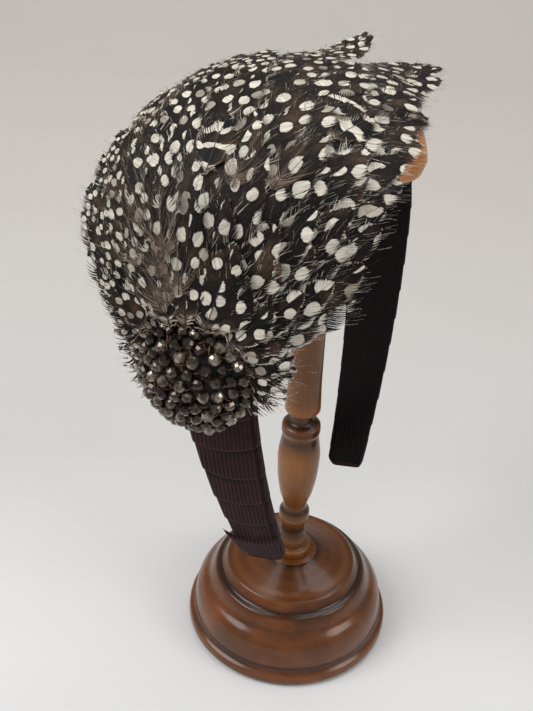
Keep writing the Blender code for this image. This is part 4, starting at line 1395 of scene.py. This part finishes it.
class HEADBAND_OT_beads(bpy.types.Operator):
    """Sews the beads over their low dome."""

    bl_idname = "headband.beads"
    bl_label = "Bead Cluster"

    def execute(self, context):
        settings = context.scene.headband_beads
        radius = settings.radius / MM
        rng = np.random.default_rng(BEAD_SEED)
        sag = DOME_SPHERE * math.cos(DOME_EDGE)
        work = bmesh.new()
        layer = work.loops.layers.uv.new("strand")
        for ring in range(BEAD_RINGS):
            polar = (ring + 0.5) * BEAD_PITCH / DOME_SPHERE
            around = round(2.0 * math.pi * DOME_SPHERE * math.sin(polar) / BEAD_PITCH)
            for i in range(around):
                turn = 2.0 * math.pi * (i + 0.5 * (ring % 2)) / around + rng.normal(0.0, 0.02)
                out = DOME_SPHERE * math.sin(polar) + rng.normal(0.0, 0.10)
                height = DOME_FLOOR + 1.0 + DOME_SPHERE * math.cos(polar) - sag + 0.55 * radius
                height += rng.normal(0.0, 0.15)
                centre = by_beads(out * math.cos(turn), out * math.sin(turn), height)
                spin = Matrix.Rotation(rng.uniform(0.0, 6.28), 4, Vector(rng.normal(size=3)).normalized())
                glass_bead_mesh(work, centre, radius * rng.uniform(0.95, 1.05), spin, layer, rng.random())
        beads = len(work.faces)
        self.dome(work, sag)
        felt = len(work.faces)
        self.stitches(work, sag, rng)
        for i, face in enumerate(work.faces):
            face.material_index = 0 if i < beads else 1 if i < felt else 2
            face.smooth = i >= beads
        materials = [bead_material(settings), felt_material(), thread_material()]
        own(solid("sewn_glass_beads", work, materials, faceted=True), "beads", "glass_bead_cluster")
        return {"FINISHED"}

    def stitches(self, work, sag, rng):
        """Short loops of thread that run from bead to bead."""
        for _ in range(STITCHES):
            polar = DOME_EDGE * math.sqrt(rng.random())
            turn = rng.uniform(0.0, 2.0 * math.pi)
            heading = rng.uniform(0.0, 2.0 * math.pi)
            thick = rng.uniform(*THREAD_RADIUS)
            rings = []
            for s in np.linspace(-1.0, 1.0, 7):
                u = DOME_SPHERE * math.sin(polar) * math.cos(turn) + STITCH_HALF * s * math.cos(heading)
                v = DOME_SPHERE * math.sin(polar) * math.sin(turn) + STITCH_HALF * s * math.sin(heading)
                drop = math.sqrt(max(1.0, DOME_SPHERE ** 2 - u * u - v * v)) - sag
                height = DOME_FLOOR + 1.0 + drop + STITCH_RISE * (1.0 - s * s)
                rings.append([work.verts.new(by_beads(
                    u - thick * math.sin(heading) * math.cos(a), v + thick * math.cos(heading) * math.cos(a),
                    height + thick * math.sin(a))) for a in np.arange(5) * 0.4 * math.pi])
            for low, high in zip(rings, rings[1:]):
                bridge(work, low, high)

    def dome(self, work, sag):
        """The felt backing under the beads."""
        rows, around = 10, 48
        polars = [DOME_EDGE * 1.03 * (1.0 - r / rows) for r in range(rows)]
        levels = [(p, DOME_FLOOR + 0.9 + DOME_SPHERE * math.cos(p) - sag) for p in polars]
        rings = []
        for polar, height in levels + [(DOME_EDGE, DOME_FLOOR)]:
            out = DOME_SPHERE * math.sin(polar)
            turns = [2.0 * math.pi * i / around for i in range(around)]
            rings.append([
                work.verts.new(by_beads(out * math.cos(a), out * math.sin(a), height)) for a in turns])
        low = rings.pop()
        for lower, upper in zip(rings, rings[1:]):
            bridge(work, lower, upper)
        work.faces.new(rings[-1])
        bridge(work, low, rings[0])
        work.faces.new(low[::-1])


class HEADBAND_OT_studio(bpy.types.Operator):
    """Sets the floor, the soft lights and the camera of the picture."""

    bl_idname = "headband.studio"
    bl_label = "Studio"

    def execute(self, context):
        settings = context.scene.headband_studio
        self.sweep(settings)
        self.camera(context)
        world = bpy.data.worlds.new("soft studio air")
        world.use_nodes = True
        back = world.node_tree.nodes["Background"]
        back.inputs["Color"].default_value = AIR_COLOUR
        back.inputs["Strength"].default_value = AIR_STRENGTH
        context.scene.world = world
        for name, place, aim, size, share, tint in LAMPS:
            self.lamp(name, place, aim, size, settings.key * share, tint)
        context.scene.view_settings.view_transform = "Standard"
        return {"FINISHED"}

    def sweep(self, settings):
        """A pale floor that curves up into the backdrop."""
        made, tree = new_material("paper sweep, matte")
        place = add(tree, "ShaderNodeTexCoord").outputs["Object"]
        tooth = add(tree, "ShaderNodeTexNoise", {"Scale": 3.0, "Detail": 3.0}, {"Vector": place})
        speck = tuple(0.97 * c for c in settings.floor)
        shade = add(tree, "ShaderNodeValToRGB",
                    {"stops": [(0.3, (*settings.floor, 1.0)), (0.7, (*speck, 1.0))]},
                    {"Fac": tooth})
        # Painted shade darkens the sheet from just behind the foot towards its back, and its far end is warmer.
        back = add(tree, "ShaderNodeSeparateXYZ", None, {0: place})
        depth = add(tree, "ShaderNodeMapRange", {"From Min": -0.05, "From Max": 0.65},
                    {"Value": back.outputs[1]})
        painted_falloff_and_warmth = add(tree, "ShaderNodeValToRGB",
                   {"stops": [(0.03, "#ffffff"), (0.19, "#e8e7e5"),
                              (0.50, "#e8e3de"), (0.93, "#efe9e2")]},
                   {"Fac": depth})
        painted_shade_floor = add(tree, "ShaderNodeMix", {**MULTIPLY, 0: 1.0},
                     {6: shade, 7: painted_falloff_and_warmth})
        shader = add(tree, "ShaderNodeBsdfPrincipled", {"Roughness": 0.7, "Specular IOR Level": 0.3},
                     {"Base Color": painted_shade_floor.outputs[2]})
        finish_material(made, shader)
        profile = [(SWEEP_FRONT, 0.0), (SWEEP_TURN, 0.0)]
        for i in range(1, 13):
            turn = math.radians(90.0 * i / 12)
            profile.append((SWEEP_TURN + SWEEP_CURVE * math.sin(turn), SWEEP_CURVE * (1.0 - math.cos(turn))))
        profile.append((SWEEP_TURN + SWEEP_CURVE, SWEEP_TOP))
        work = bmesh.new()
        left = [work.verts.new((-SWEEP_HALF, y, z)) for y, z in profile]
        right = [work.verts.new((SWEEP_HALF, y, z)) for y, z in profile]
        for i in range(len(profile) - 1):
            work.faces.new([left[i], right[i], right[i + 1], left[i + 1]])
        floor = solid("paper_sweep", work, [made])
        floor.location.z = -SWEEP_DROP
        floor.rotation_euler.z = math.radians(17.0)
        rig.stage(floor)

    def lamp(self, name, place, aim, size, power, colour):
        """One soft rectangular light that faces the object."""
        data = bpy.data.lights.new(name, "AREA")
        data.shape = "SQUARE"
        data.size = size
        data.energy = power
        data.color = colour
        lamp = bpy.data.objects.new(name, data)
        lamp.location = place
        lamp.rotation_euler = (Vector(aim) - Vector(place)).to_track_quat("-Z", "Y").to_euler()
        bpy.context.scene.collection.objects.link(lamp)

    def camera(self, context):
        """The camera at the place worked out from the picture's perspective."""
        yaw, pitch, roll = (math.radians(a) for a in (CAMERA_YAW, CAMERA_PITCH, CAMERA_ROLL))
        ahead = Vector((math.sin(yaw) * math.cos(pitch), math.cos(yaw) * math.cos(pitch), -math.sin(pitch)))
        right = Vector((math.cos(yaw), -math.sin(yaw), 0.0))
        up = right.cross(ahead)
        level = math.cos(roll) * right + math.sin(roll) * up
        top = math.cos(roll) * up - math.sin(roll) * right
        data = bpy.data.cameras.new("picture_camera")
        data.sensor_fit = "AUTO"
        data.sensor_width = 36.0
        data.lens = 36.0 * FOCAL_PIXELS / PICTURE_HEIGHT
        data.clip_start = 0.01
        camera = bpy.data.objects.new("picture_camera", data)
        turn = Matrix((level, top, -ahead)).transposed().to_4x4()
        camera.matrix_world = Matrix.Translation(Vector(CAMERA_PLACE) * MM) @ turn
        context.scene.collection.objects.link(camera)
        context.scene.camera = camera


class HEADBAND_PT_panel(bpy.types.Panel):
    """Lists the build steps and what can be changed."""

    bl_label = "Headband"
    bl_space_type = "VIEW_3D"
    bl_region_type = "UI"
    bl_category = "Headband"

    def draw(self, context):
        scene = context.scene
        for group, step in (
                (scene.headband_stand, "headband.turned_stand"),
                (scene.headband_ribbon, "headband.wrapped_band"),
                (None, "headband.felt_lining"), (scene.headband_plumes, "headband.plumes"),
                (scene.headband_beads, "headband.beads"), (scene.headband_studio, "headband.studio")):
            box = self.layout.box()
            for name in (group.bl_rna.properties.keys() if group else ()):
                if name not in {"rna_type", "name"}:
                    box.prop(group, name)
            box.operator(step)


CLASSES = (
    PlumeSettings, BeadSettings, RibbonSettings, StandSettings, StudioSettings,
    HEADBAND_OT_turned_stand, HEADBAND_OT_wrapped_band, HEADBAND_OT_felt_lining,
    HEADBAND_OT_plumes, HEADBAND_OT_beads, HEADBAND_OT_studio, HEADBAND_PT_panel,
)
GROUPS = {
    "headband_plumes": PlumeSettings, "headband_beads": BeadSettings, "headband_ribbon": RibbonSettings,
    "headband_stand": StandSettings, "headband_studio": StudioSettings,
}


def register():
    for part in CLASSES:
        bpy.utils.register_class(part)
    for name, group in GROUPS.items():
        setattr(bpy.types.Scene, name, PointerProperty(type=group))


def unregister():
    for name in GROUPS:
        delattr(bpy.types.Scene, name)
    for part in reversed(CLASSES):
        bpy.utils.unregister_class(part)


def main():
    """Builds everything in order and notes the two boxes."""
    register()
    bpy.ops.headband.studio()
    bpy.ops.headband.turned_stand()
    bpy.ops.headband.wrapped_band()
    bpy.ops.headband.felt_lining()
    bpy.ops.headband.plumes()
    bpy.ops.headband.beads()
    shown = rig.bounds()
    with open("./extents.json", "w") as out:
        json.dump({"cad": [list(c) for c in CAD_BOX], "shown": [list(c) for c in shown]}, out)


if __name__ == "__main__":
    main()
